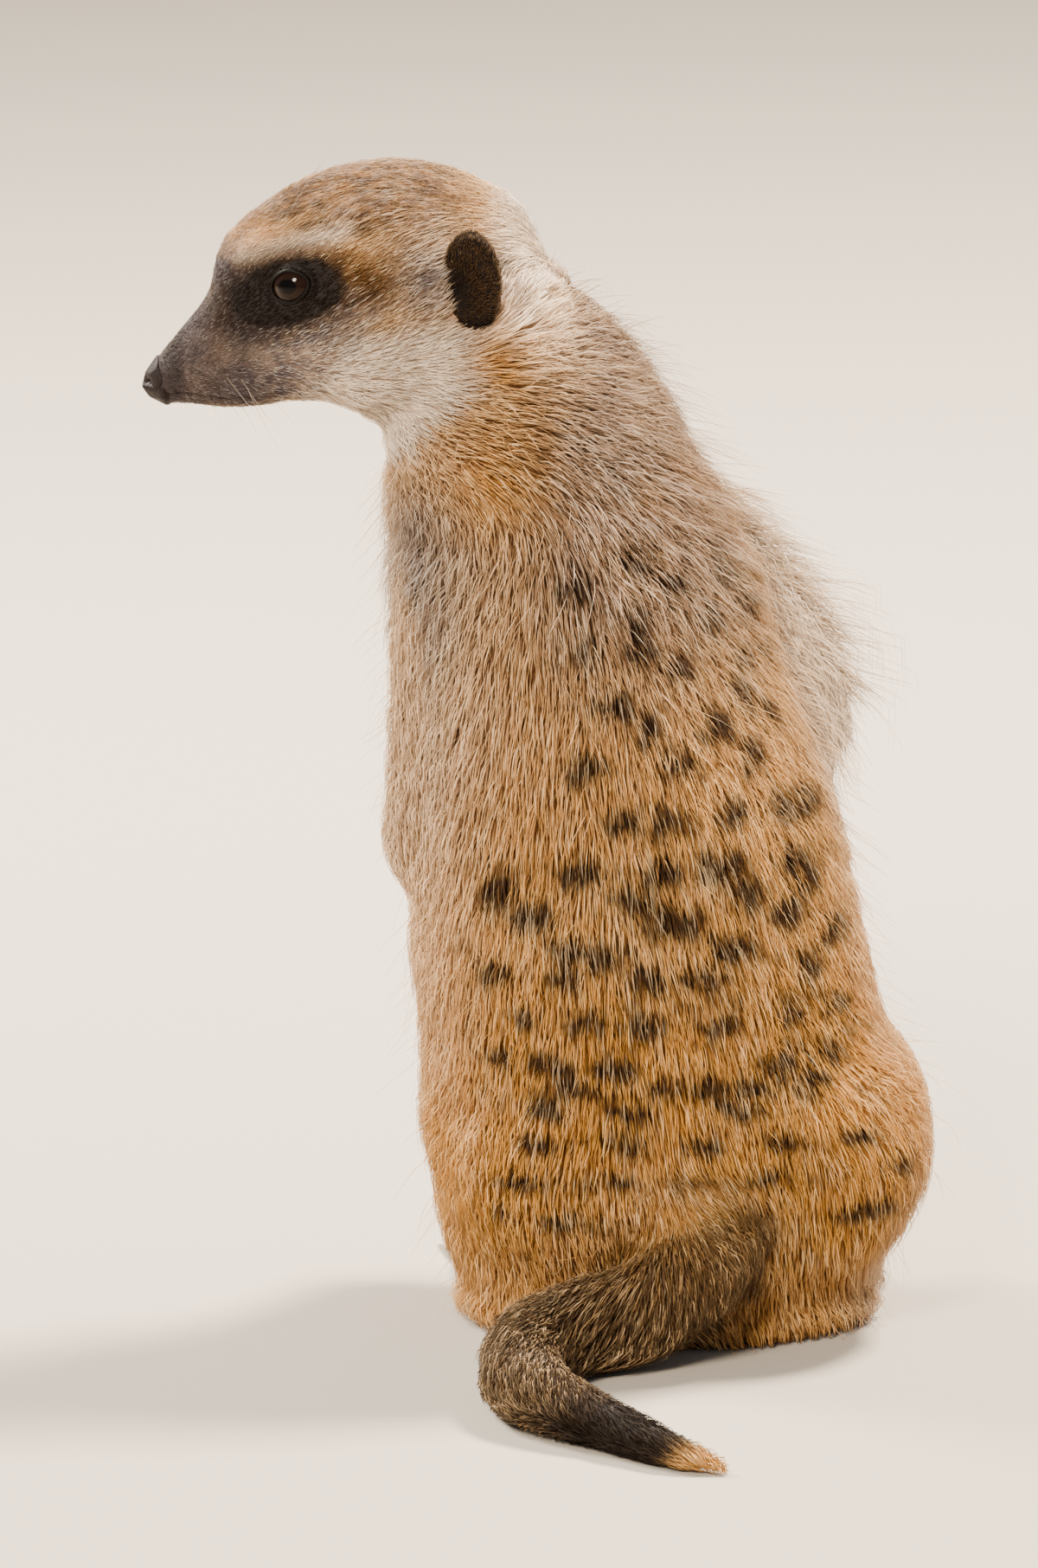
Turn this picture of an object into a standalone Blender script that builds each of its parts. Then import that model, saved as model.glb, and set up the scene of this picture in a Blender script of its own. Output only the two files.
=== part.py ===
"""A life-size meerkat, sitting upright on its rump and looking over its left shoulder.

Frame: +Z is up, the pelvis faces -Y and the animal's left is +X. The origin is on the flat that the rump
sits on, in the middle plane of the pelvis. Every size below is in millimetres, and is turned into metres
as the meshes are made.

The flesh is blended into one closed form from tubes and ellipsoids, rested on the floor, and then parted
into its named pieces with thin cuts. Eyes, ears and claws are pieces of their own, let into it.
"""

from math import cos, pi, radians, sin

import bmesh
import bpy
from mathutils import Matrix, Vector

MM = 0.001
UP = Vector((0, 0, 1))

# Driving sizes.
GAP = 0.8  # thin cut between two neighbours
RING = 28  # points round a form's section
CUT_RING = 8  # and round a cut's
CUT_REACH = 4  # how far a limb's cut stands off it
VOXEL = 1.1  # grid of the blended flesh
BODY_SMOOTHING = 19  # passes that fillet one form into the next
FACE_SMOOTHING = 5
PAW_SMOOTHING = 1
SETTLED = 0.2  # what thinning leaves this near the floor is put back on it
SLIVER = 0.05  # edges shorter than this are closed up after a cut
FLESH_FACES = 4800
KEPT_AFTER_CUTS = (0.6, 0.7, 0.85)  # shares of a parted piece's faces that its thinning tries to keep
SLAB = 400  # side of the box that cuts along a plane

# The trunk and neck: height, left of the pelvis, behind it, half width, half depth, turn to the left.
TRUNK = (
    (-4, 2, -6, 27, 25, 0),
    (4, 2, -7, 43, 37, 0),
    (20, 2, -9, 50, 45, 0),
    (40, 1, -10, 51.5, 50, 0),
    (76, 8, -10, 50, 49, 3),
    (112, 12, -15, 46, 47, 8),
    (147, 19, -28, 39, 43, 20),
    (163, 21.5, -35, 35, 41, 26),
    (178, 25, -39, 32, 35, 34),
    (192, 28.5, -42.7, 27.3, 30.2, 44),
    (206, 34, -44.5, 23.5, 24.5, 55),
    (216, 38, -46, 20, 22, 66),
)

# The head's own axes: its middle, and the way that it faces.
HEAD_MIDDLE = Vector((49.4, -49.4, 214.7))
HEAD_TURN = radians(-11)
FACING = Vector((cos(HEAD_TURN), sin(HEAD_TURN), 0))
CHEEKWARD = UP.cross(FACING)
# The skull and muzzle: forward of the middle, top, underside, half width.
HEAD = (
    (-26, 4, -10, 9),
    (-21.6, 14, -20, 17),
    (-16, 18.3, -25.5, 21),
    (-8, 21.9, -31, 23.8),
    (2, 23.8, -32.5, 24.4),
    (10, 23.5, -31.5, 23.6),
    (18, 21.7, -29, 20.4),
    (26, 18.3, -28.8, 16),
    (32, 14.2, -29.8, 12.8),
    (37.5, 9.4, -30.2, 10.8),
    (41.2, 4.2, -30, 9.6),
    (43.2, -5, -29.6, 8.9),
    (48, -11.5, -29.4, 7.4),
    (53, -17.4, -29.3, 5.6),
    (57.2, -23.5, -26, 2.2),
)
CHEEK = {"forward": 6, "aside": 12, "rise": -15, "radii": (17, 12.5, 13)}
BROW = {"forward": 26, "aside": 9, "rise": 4, "radii": (11, 6.4, 6.4)}
TEMPLE = {"forward": 5, "aside": 14, "rise": 5, "radii": (16, 10.5, 14)}
NOSE = {"forward": 54.8, "rise": -24.6, "radius": 5.7}
EYE = {"forward": 23.2, "aside": 13.1, "rise": -1.8, "radius": 5.7}
EAR = {"forward": -13.2, "aside": 22.8, "rise": 0.9, "lean": radians(4), "flare": radians(20)}
EAR_SIZE = (6.5, 2.7, 10.5)  # half breadth, half thickness, half height
EAR_HOLLOW = 2.1  # how deep its outer face is hollowed
HOLLOW_SPREAD = 1.25  # and how soon the hollow ends short of the rim
# Balls in which the blended flesh is kept crisp.
FACE_ZONE = {"forward": 40, "rise": -12, "radius": 24}
PAW_ZONES = {"hand": 20, "foot": 24}

# Each leg's tube: points and radii from the body outwards.
THIGH = ((21, 9, 38, 31), (29, -16, 42, 26.5), (34, -43, 48, 17.5), (35, -50, 47, 14))
THIGH_CUT = ((34, 7, 40, 28), (34, -18, 43, 30), (35, -42, 48, 23), (35, -54, 47, 19))
SHANK = ((34, -46, 46, 13.5), (35, -30, 27, 11.5), (34, -14, 9.5, 9))
SHANK_CUT = ((35, -37, 33, 15), (35, -28, 23, 14.5), (34, -12, 9, 12))
FOOT = ((34, -9, 7.5, 7.5), (33, -28, 6, 7), (30.5, -56, 5.6, 7.6))
UPPER_ARM = {
    "left": ((43, -27, 148, 15), (47, -20, 124, 13), (51, -15, 100, 11)),
    "right": ((-5, -43, 152, 17), (-20, -36, 137, 14), (-29, -29, 122, 11)),
}
FOREARM = {
    "left": ((51, -15, 100, 11), (45, -38, 96, 9), (33, -57, 94, 6.8)),
    "right": ((-29, -29, 122, 10.5), (-20, -50, 117, 8.8), (-7, -62, 110, 6.8)),
}
PALM = {
    "left": ((33, -57, 94, 6.8), (27, -67, 87, 6.2)),
    "right": ((-7, -62, 110, 6.8), (-2, -72, 102, 6.2)),
}
# How far a hand's or foot's cut reaches past its outer digits.
HAND_CUT_SPREAD = 4
SOLE_CUT_SPREAD = 5
PALM_TURN = radians(14)
TOES = 4
FANNED = (0.75, 1.15)  # how far apart digits are at their roots and tips, in spacings
SHORTER = 0.09  # each digit's length is less by this share per place away from the middle
CLAW_STEPS = 5
CLAW_CORNERS = 6
CLAW_LIFT = radians(12)  # a claw leaves its digit this much upwards, and curls down from there
CLAW_TAPER = 0.86
CLAW_FLATNESS = 0.8
# Digit length, radius and spacing, then the claw's length, root radius and curl.
HAND = {"digit": 10, "thick": 2.2, "spacing": 4.2, "claw": 13, "root": 1.2, "curl": radians(62)}
SOLE = {"digit": 15, "thick": 2.7, "spacing": 5.2, "claw": 7, "root": 1.2, "curl": radians(38)}

# The tail lies on the floor: left, behind, height, radius.
TAIL = (
    (-3, 22, 29, 14),
    (4, 39, 20, 12),
    (15, 43, 14, 10.8),
    (27, 45, 11.5, 10.2),
    (37, 52, 10.2, 9.9),
    (43.5, 67, 9.4, 9.6),
    (44.5, 85, 8.8, 9),
    (40, 97.5, 7.4, 7.7),
    (32.5, 107.5, 5.8, 6.1),
    (26.5, 118, 5, 5.3),
    (20, 127, 4, 4.3),
    (13.5, 131, 2.8, 3.1),
)
TAIL_CUT = ((-2, 26, 28, 19), (12, 46, 16, 20), (36, 54, 10, 18), (44, 80, 9, 14), (12, 132, 4, 14))
TAIL_CUTS = ((44.3, 76, Vector((0.1, 1, 0))), (38.5, 100, Vector((-0.62, 0.78, 0))))

# Where the head and the neck are parted: a point of the cut, and the way that it faces.
HEAD_CUT = (Vector((38.7, -47.9, 196)), Vector((0.688, -0.097, 0.719)))
NECK_CUT = (Vector((24.8, -38.8, 174)), Vector((0.309, -0.043, 0.95)))

COAT = {"colour": (0.55, 0.37, 0.21, 1), "roughness": 0.85}
DARK_COAT = {"colour": (0.045, 0.032, 0.026, 1), "roughness": 0.8}
TAIL_COAT = {"colour": (0.2, 0.12, 0.06, 1), "roughness": 0.85}
EYEBALL = {"colour": (0.012, 0.009, 0.007, 1), "roughness": 0.06}
NOSE_SKIN = {"colour": (0.03, 0.022, 0.022, 1), "roughness": 0.45}
CLAW_HORN = {"colour": (0.09, 0.065, 0.05, 1), "roughness": 0.4}


def clear_scene():
    for found in list(bpy.data.objects):
        bpy.data.objects.remove(found)


def finish(name, look):
    """A Principled material of this colour and roughness."""
    made = bpy.data.materials.get(name) or bpy.data.materials.new(name)
    made.use_nodes = True
    shader = made.node_tree.nodes["Principled BSDF"]
    shader.inputs["Base Color"].default_value = look["colour"]
    shader.inputs["Roughness"].default_value = look["roughness"]
    shader.inputs["Metallic"].default_value = 0
    return made


def object_of(name, bm, material=None, helper=False):
    """A new object from a bmesh in metres. A helper is a cutter, which is no piece of the animal."""
    mesh = bpy.data.meshes.new(name)
    bmesh.ops.recalc_face_normals(bm, faces=bm.faces)
    bm.to_mesh(mesh)
    bm.free()
    made = bpy.data.objects.new(name, mesh)
    bpy.context.scene.collection.objects.link(made)
    if material:
        mesh.materials.append(material)
    made.hide_render = helper
    if helper:
        made.display_type = "WIRE"
    return made


def blended_rows(rows, steps):
    """The rows with smooth ones put between them, each column following a Catmull-Rom curve."""
    rows = [Vector(row) for row in rows]
    ends = [rows[0] * 2 - rows[1], *rows, rows[-1] * 2 - rows[-2]]
    made = []
    for before, start, end, after in zip(ends, ends[1:], ends[2:], ends[3:]):
        for step in range(steps):
            t = step / steps
            made.append(
                (
                    start * 2
                    + (end - before) * t
                    + (before * 2 - start * 5 + end * 4 - after) * t**2
                    + (start * 3 - before - end * 3 + after) * t**3
                )
                / 2
            )
    return [*made, rows[-1]]


def tube_of_rings(rings):
    """A closed bmesh through rings of points, each end closed to a point in its middle."""
    bm = bmesh.new()
    loops = [[bm.verts.new(point * MM) for point in ring] for ring in rings]
    for near, far in zip(loops, loops[1:]):
        for i, corner in enumerate(near):
            after = (i + 1) % len(near)
            bm.faces.new((corner, near[after], far[after]))
            bm.faces.new((corner, far[after], far[i]))
    for loop in (loops[0], loops[-1]):
        middle = bm.verts.new(sum((v.co for v in loop), Vector()) / len(loop))
        for i, corner in enumerate(loop):
            bm.faces.new((corner, loop[(i + 1) % len(loop)], middle))
    bmesh.ops.recalc_face_normals(bm, faces=bm.faces)
    return bm


def oval(middle, across, along, corners=RING):
    """Points round an ellipse with these two half axes."""
    turns = [2 * pi * i / corners for i in range(corners)]
    return [middle + across * cos(turn) + along * sin(turn) for turn in turns]


def trunk():
    """Level ovals up the belly, chest and neck, each turned further to the left."""
    rings = []
    for height, left, back, half_width, half_depth, turn in blended_rows(TRUNK, 4):
        side = Vector((cos(radians(turn)), sin(radians(turn)), 0))
        middle = Vector((left, back, height))
        rings.append(oval(middle, side * half_width, UP.cross(side) * half_depth))
    return tube_of_rings(rings)


def in_head(forward, aside, rise):
    return HEAD_MIDDLE + FACING * forward + CHEEKWARD * aside + UP * rise


def head():
    """Upright ovals from the back of the skull to the nose."""
    rings = []
    for forward, top, under, half_width in blended_rows(HEAD, 3):
        middle = in_head(forward, 0, (top + under) / 2)
        rings.append(oval(middle, CHEEKWARD * half_width, UP * (top - under) / 2))
    return tube_of_rings(rings)


def limb(points, grow=0.0, steps=4, corners=RING, domed=True):
    """A round tube through points that carry their radius, with a dome or a flat on each end."""
    rows = blended_rows(points, steps)
    places = [Vector(row[:3]) for row in rows]
    rings = []
    last = len(rows) - 1
    for i, row in enumerate(rows):
        along = (places[min(i + 1, last)] - places[max(i - 1, 0)]).normalized()
        across = along.cross(UP if abs(along.z) < 0.9 else Vector((1, 0, 0))).normalized()
        radius = row[3] + grow
        # Each end runs on past the path.
        caps = {0: (-0.8, -0.5, 0), last: (0, 0.5, 0.8)} if domed else {0: (-0.6,), last: (0.6,)}
        for cap in caps.get(i, (0,)):
            shrink = (1 - cap**2) ** 0.5
            middle = places[i] + along * radius * cap
            rings.append(
                oval(middle, across * radius * shrink, along.cross(across) * radius * shrink, corners)
            )
    return tube_of_rings(rings)


def ellipsoid(middle, forward, aside, radii, rows=14, columns=24):
    """An ellipsoid whose first two half axes run along forward and aside."""
    bm = bmesh.new()
    bmesh.ops.create_uvsphere(bm, u_segments=columns, v_segments=rows, radius=1)
    over = forward.cross(aside)
    axes = [axis.normalized() * radius for axis, radius in zip((forward, aside, over), radii)]
    turned = Matrix([[axis[i] for axis in axes] for i in range(3)]).to_4x4()
    bmesh.ops.transform(bm, matrix=Matrix.Translation(middle) @ turned, verts=bm.verts)
    bmesh.ops.scale(bm, vec=(MM, MM, MM), verts=bm.verts)
    return bm


def mirrored(points, side):
    """Points of the left leg, or of the right one across the pelvis."""
    sign = 1 if side == "left" else -1
    return [(point[0] * sign, *point[1:]) for point in points]


def head_pair(form, side):
    """An ellipsoid on one side of the head."""
    sign = 1 if side == "left" else -1
    middle = in_head(form["forward"], form["aside"] * sign, form["rise"])
    return ellipsoid(middle, FACING, CHEEKWARD, form["radii"])


def extremity(kind, side):
    """Where a hand's or foot's digits start, and its forward, side and back directions."""
    if kind == "hand":
        start, end = (Vector(point[:3]) for point in PALM[side])
        ahead = (end - start).normalized()
        across = Vector((cos(PALM_TURN), sin(PALM_TURN), 0))
    else:
        start, end = (Vector(point[:3]) for point in mirrored(FOOT[1:], side))
        ahead = Vector((end.x - start.x, end.y - start.y, 0)).normalized()
        across = ahead.cross(UP)
    across = (across - ahead * across.dot(ahead)).normalized()
    back = ahead.cross(across)
    if back.z < 0 or (kind == "hand" and back.y > 0):
        back = -back
    return end, ahead, across, back


def digits(kind, side):
    """Each digit as (root, tip), fanned out from the palm."""
    size = HAND if kind == "hand" else SOLE
    end, ahead, across, back = extremity(kind, side)
    made = []
    for i in range(TOES):
        off = i - (TOES - 1) / 2
        reach = size["digit"] * (1 - SHORTER * abs(off))
        near, far = (across * off * size["spacing"] * fan for fan in FANNED)
        root = end + near
        tip = end + ahead * reach + far
        if kind == "foot":
            root.z = size["thick"] + 1
            tip.z = size["thick"] - 0.2
        made.append((root, tip))
    return made


def toes(kind, side):
    thick = (HAND if kind == "hand" else SOLE)["thick"]
    return [limb(((*root, thick * 1.05), (*tip, thick)), steps=2) for root, tip in digits(kind, side)]


def claw(kind, side, root, tip, grow=0.0):
    """A tapering horn that curls from a digit's tip towards the palm."""
    size = HAND if kind == "hand" else SOLE
    back = extremity(kind, side)[3]
    ahead = (tip - root).normalized()
    back = (back - ahead * back.dot(ahead)).normalized()
    if kind == "foot":
        tip = tip + UP * 1.2
    place = tip + ahead * size["thick"] * 0.35
    rings = []
    for i in range(CLAW_STEPS + 1):
        share = i / CLAW_STEPS
        bend = size["curl"] * share - CLAW_LIFT
        way = ahead * cos(bend) - back * sin(bend)
        across = way.cross(back if abs(way.dot(back)) < 0.9 else ahead).normalized()
        radius = size["root"] * (1 - CLAW_TAPER * share**1.3) + grow
        flat, upright = across * radius * CLAW_FLATNESS, way.cross(across) * radius
        rings.append(oval(place, flat, upright, CLAW_CORNERS))
        place = place + way * (size["claw"] + grow) / CLAW_STEPS
    if grow:
        rings[0] = [point - ahead * grow for point in rings[0]]
    return tube_of_rings(rings)


def ear(side, grow=0.0):
    """A small upright oval shell, hollowed on its outer face and let into the side of the head."""
    sign = 1 if side == "left" else -1
    middle = in_head(EAR["forward"], EAR["aside"] * sign, EAR["rise"])
    outward = CHEEKWARD * sign
    # The shell opens outwards and a little forwards.
    opening = (outward * cos(EAR["flare"]) + FACING * sin(EAR["flare"])).normalized()
    height = (UP * cos(EAR["lean"]) + FACING * sin(EAR["lean"])).normalized()
    height = (height - opening * height.dot(opening)).normalized()
    breadth = opening.cross(height)
    radii = [radius + grow for radius in EAR_SIZE]
    bm = ellipsoid(middle, breadth, opening, radii, rows=10, columns=16)
    if not grow:
        for vert in bm.verts:
            off = vert.co / MM - middle
            reach = (off.dot(breadth) / radii[0]) ** 2 + (off.dot(height) / radii[2]) ** 2
            if off.dot(opening) > 0:
                vert.co -= opening * MM * EAR_HOLLOW * max(0, 1 - reach * HOLLOW_SPREAD)
    return bm


def eyeball(side, grow=0.0):
    sign = 1 if side == "left" else -1
    middle = in_head(EYE["forward"], EYE["aside"] * sign, EYE["rise"])
    radius = EYE["radius"] + grow
    return ellipsoid(middle, FACING, CHEEKWARD, (radius, radius, radius), rows=10, columns=14)


def all_flesh():
    """Every form that is blended into the one body."""
    forms = [trunk(), head(), limb(TAIL)]
    for side in ("left", "right"):
        forms += [head_pair(CHEEK, side), head_pair(BROW, side), head_pair(TEMPLE, side)]
        forms += [limb(mirrored(leg, side)) for leg in (THIGH, SHANK, FOOT)]
        forms += [limb(UPPER_ARM[side]), limb(FOREARM[side]), limb(PALM[side])]
        forms += toes("hand", side) + toes("foot", side)
    return forms


def applied(made):
    """The object with its modifiers made part of its mesh."""
    graph = bpy.context.evaluated_depsgraph_get()
    mesh = bpy.data.meshes.new_from_object(made.evaluated_get(graph), depsgraph=graph)
    old = made.data
    made.modifiers.clear()
    made.data = mesh
    bpy.data.meshes.remove(old)
    return made


def fine_zones():
    """Balls in which the blend is kept crisp: the face, then the paws."""
    face = (in_head(FACE_ZONE["forward"], 0, FACE_ZONE["rise"]), FACE_ZONE["radius"])
    paws = [
        (extremity(kind, side)[0], radius)
        for side in ("left", "right")
        for kind, radius in PAW_ZONES.items()
    ]
    return face, paws


def smoothed(made):
    """Fillets the forms into each other, most on the body and least on the paws."""
    bm = bmesh.new()
    bm.from_mesh(made.data)
    face, paws = fine_zones()

    def within(vert, ball):
        return (vert.co / MM - ball[0]).length < ball[1]

    on_paws = {v for v in bm.verts if any(within(v, ball) for ball in paws)}
    on_face = {v for v in bm.verts if within(v, face)} - on_paws
    passes = (
        (PAW_SMOOTHING, list(bm.verts)),
        (FACE_SMOOTHING - PAW_SMOOTHING, [v for v in bm.verts if v not in on_paws]),
        (
            BODY_SMOOTHING - FACE_SMOOTHING,
            [v for v in bm.verts if v not in on_paws and v not in on_face],
        ),
    )
    for count, verts in passes:
        for _ in range(count):
            bmesh.ops.smooth_vert(bm, verts=verts, factor=0.5, use_axis_x=True, use_axis_y=True, use_axis_z=True)
    bm.to_mesh(made.data)
    bm.free()


def whole_body(material):
    """One closed mesh of all the flesh, blended and thinned out."""
    joined = bmesh.new()
    for form in all_flesh():
        part = bpy.data.meshes.new("form")
        form.to_mesh(part)
        form.free()
        joined.from_mesh(part)
        bpy.data.meshes.remove(part)
    body = object_of("body", joined, material)
    blend = body.modifiers.new("blend", "REMESH")
    blend.mode = "VOXEL"
    blend.voxel_size = VOXEL * MM
    applied(body)
    smoothed(body)
    thin = body.modifiers.new("thin", "DECIMATE")
    thin.ratio = FLESH_FACES / (2 * len(body.data.polygons))
    applied(body)
    return body


def keep_largest(made):
    """Leaves only the largest loose piece, so that no sliver of a cut stays behind."""
    bm = bmesh.new()
    bm.from_mesh(made.data)
    bmesh.ops.dissolve_degenerate(bm, dist=SLIVER * MM, edges=bm.edges)
    left = set(bm.verts)
    pieces = []
    while left:
        piece = {left.pop()}
        edge = list(piece)
        while edge:
            near = {e.other_vert(v) for v in edge for e in v.link_edges} - piece
            piece |= near
            edge = list(near)
        left -= piece
        pieces.append(piece)
    largest = max(pieces, key=lambda piece: sum(f.calc_area() for v in piece for f in v.link_faces))
    bmesh.ops.delete(bm, geom=[v for v in bm.verts if v not in largest], context="VERTS")
    bm.to_mesh(made.data)
    bm.free()
    return made


def cut(made, cutter, operation="DIFFERENCE"):
    """Applies one Boolean to an object."""
    change = made.modifiers.new("cut", "BOOLEAN")
    change.operation = operation
    change.solver = "MANIFOLD"
    change.object = cutter
    applied(made)
    return keep_largest(made)


def slab(place, facing):
    """A wide box whose near face lies at place, and which fills what is on the side that it faces."""
    bm = bmesh.new()
    bmesh.ops.create_cube(bm, size=1)
    turn = facing.to_track_quat("Z", "Y").to_matrix().to_4x4()
    size = Matrix.Diagonal((SLAB, SLAB, SLAB, 1))
    middle = place + facing.normalized() * SLAB / 2
    bmesh.ops.transform(bm, matrix=Matrix.Translation(middle) @ turn @ size, verts=bm.verts)
    bmesh.ops.scale(bm, vec=(MM, MM, MM), verts=bm.verts)
    return bm


def part_off(rest, name, region, wider, material):
    """Takes what lies in region off the rest, as a piece of its own, with a thin gap between the two."""
    piece = bpy.data.objects.new(name, rest.data.copy())
    bpy.context.scene.collection.objects.link(piece)
    piece.data.materials.clear()
    piece.data.materials.append(material)
    cut(piece, object_of(f"{name}_region", region, helper=True), "INTERSECT")
    cut(rest, object_of(f"{name}_gap", wider, helper=True))
    return piece


def part_by_plane(rest, name, place, facing, material):
    """Takes what lies past a plane off the rest."""
    facing = facing.normalized()
    region = slab(place, facing)
    wider = slab(place - facing * GAP, facing)
    return part_off(rest, name, region, wider, material)


def part_by_tube(rest, name, points, grow, material):
    """Takes what lies in a tube round these points off the rest."""
    region, wider = (limb(points, size, 1, CUT_RING, domed=False) for size in (grow, grow + GAP))
    return part_off(rest, name, region, wider, material)


def is_closed(mesh):
    bm = bmesh.new()
    bm.from_mesh(mesh)
    closed = all(edge.is_manifold for edge in bm.edges)
    bm.free()
    return closed


def thinned(piece):
    """Takes out the needless corners that the cuts leave along their edges."""
    for share in KEPT_AFTER_CUTS:
        trial = bpy.data.objects.new("trial", piece.data.copy())
        bpy.context.scene.collection.objects.link(trial)
        slim = trial.modifiers.new("slim", "DECIMATE")
        slim.ratio = share
        thin = applied(trial).data
        bpy.data.objects.remove(trial)
        for vert in thin.vertices:
            if abs(vert.co.z) < SETTLED * MM:
                vert.co.z = 0
        if is_closed(thin):
            piece.data = thin
            return


def let_in(host, name, bm, hollow, material):
    """Lets a piece of its own into its host, which is hollowed to clear it."""
    piece = object_of(name, bm, material)
    cut(host, object_of(f"{name}_hollow", hollow, helper=True))
    return piece


def part_arm(trunk_rest, side, coat):
    """The upper arm, forearm and hand of one side, the hand taken first."""
    ends = [tip for _, tip in digits("hand", side)]
    ahead = extremity("hand", side)[1]
    spread = HAND["spacing"] * TOES / 2 + HAND_CUT_SPREAD
    palm = [*PALM[side], (*(sum(ends, Vector()) / TOES + ahead * 2), spread)]
    hand = part_by_tube(trunk_rest, f"forepaw_{side}", palm, CUT_REACH, coat)
    fore = part_by_tube(trunk_rest, f"forearm_{side}", FOREARM[side], CUT_REACH, coat)
    upper = part_by_tube(trunk_rest, f"upper_arm_{side}", UPPER_ARM[side], CUT_REACH, coat)
    return upper, fore, hand


def part_hind_leg(trunk_rest, side, coat):
    """The thigh, shank and hind foot of one side."""
    sole = mirrored(FOOT, side)
    far = [tip for _, tip in digits("foot", side)]
    reach = sum(far, Vector()) / TOES
    spread = SOLE["spacing"] * TOES / 2 + SOLE_CUT_SPREAD
    path = [*sole, (reach.x, reach.y - 4, reach.z + 2, spread)]
    foot = part_by_tube(trunk_rest, f"hind_foot_{side}", path, CUT_REACH, coat)
    shank = part_by_tube(trunk_rest, f"shank_{side}", mirrored(SHANK_CUT, side), 0, coat)
    thigh = part_by_tube(trunk_rest, f"thigh_{side}", mirrored(THIGH_CUT, side), 0, coat)
    return thigh, shank, foot


def add_claws(paw, kind, side, horn):
    for i, (root, tip) in enumerate(digits(kind, side)):
        shape = claw(kind, side, root, tip)
        hollow = claw(kind, side, root, tip, GAP)
        limb_name = "fore" if kind == "hand" else "hind"
        let_in(paw, f"claw_{limb_name}_{side}_{i + 1}", shape, hollow, horn)


def main():
    clear_scene()
    coat = finish("coat", COAT)
    dark = finish("dark_coat", DARK_COAT)
    tail_coat = finish("tail_coat", TAIL_COAT)
    horn = finish("claw_horn", CLAW_HORN)
    wet = finish("eyeball", EYEBALL)
    nose_skin = finish("nose_skin", NOSE_SKIN)

    body = whole_body(coat)
    cut(body, object_of("floor", slab(Vector((0, 0, 0)), -UP), helper=True))

    head_piece = part_by_plane(body, "head", *HEAD_CUT, coat)
    part_by_plane(body, "neck", *NECK_CUT, coat)
    tail = part_by_tube(body, "tail_root", TAIL_CUT, 0, tail_coat)
    for name, (left, back, facing) in zip(("tail_middle", "tail_tip"), TAIL_CUTS):
        tail = part_by_plane(tail, name, Vector((left, back, 0)), facing, tail_coat)
    for side in ("left", "right"):
        hand = part_arm(body, side, coat)[2]
        add_claws(hand, "hand", side, horn)
        foot = part_hind_leg(body, side, coat)[2]
        add_claws(foot, "foot", side, horn)
        let_in(head_piece, f"eye_{side}", eyeball(side), eyeball(side, GAP), wet)
        let_in(head_piece, f"ear_{side}", ear(side), ear(side, GAP), dark)
    nose_tip = in_head(NOSE["forward"], 0, NOSE["rise"])
    balls = [
        ellipsoid(nose_tip, FACING, CHEEKWARD, (radius, radius, radius))
        for radius in (NOSE["radius"], NOSE["radius"] + GAP)
    ]
    part_off(head_piece, "nose", *balls, nose_skin)
    body.name = "trunk"
    for piece in [found for found in bpy.data.objects if not found.hide_render]:
        if not piece.name.startswith(("eye", "ear", "claw")):
            thinned(piece)


main()
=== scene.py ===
"""A life-size meerkat that sits upright and looks over its left shoulder.

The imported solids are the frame, and reach out to the tips of the coat. One skin takes the place of the solids
of flesh and lies inside them by the coat's depth. The coat's tufts grow from it and lie along the way that
hair lies on the animal, which is away from its nose along the skin. Sizes are in metres unless a name or a
comment says millimetres.
"""

import heapq
from math import cos, pi, radians, sin

import bmesh
import bpy
import numpy as np
from bpy.props import FloatProperty, FloatVectorProperty, PointerProperty
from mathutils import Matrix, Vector, kdtree


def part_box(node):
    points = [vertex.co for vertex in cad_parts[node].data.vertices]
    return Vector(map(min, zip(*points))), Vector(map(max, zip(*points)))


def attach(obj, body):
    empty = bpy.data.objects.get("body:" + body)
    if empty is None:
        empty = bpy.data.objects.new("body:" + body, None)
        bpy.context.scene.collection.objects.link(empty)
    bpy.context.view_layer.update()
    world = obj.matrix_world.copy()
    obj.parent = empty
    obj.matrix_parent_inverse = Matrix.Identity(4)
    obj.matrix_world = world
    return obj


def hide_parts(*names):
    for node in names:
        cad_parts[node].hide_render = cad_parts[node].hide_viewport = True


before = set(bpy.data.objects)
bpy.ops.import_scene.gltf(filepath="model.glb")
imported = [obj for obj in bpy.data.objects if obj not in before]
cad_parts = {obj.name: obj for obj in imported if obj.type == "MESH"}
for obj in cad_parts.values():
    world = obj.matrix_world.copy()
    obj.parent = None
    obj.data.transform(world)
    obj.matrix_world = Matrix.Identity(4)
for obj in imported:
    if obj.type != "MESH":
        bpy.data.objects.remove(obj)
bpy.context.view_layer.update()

bl_info = {
    "name": "Meerkat",
    "version": (1, 0, 0),
    "blender": (4, 5, 0),
    "location": "3D View > Sidebar > Meerkat",
    "description": "Dresses a meerkat's solids with skin, coat, eyes, nose, ears and claws",
    "category": "Add Mesh",
}

MM = 0.001
UP = np.array((0.0, 0.0, 1.0))
SIDES = {"left": 1, "right": -1}
# The limbs as their claws name them, each with its paw's kind of node and its side.
LIMBS = [(limb, paw, side) for limb, paw in (("fore", "forepaw"), ("hind", "hind_foot")) for side in SIDES]
SEED = 7

# The record's names for the coat's finishes.
FUR_SLOT, DARK_SLOT, TAIL_SLOT = "coat", "dark_coat", "tail_coat"

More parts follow.
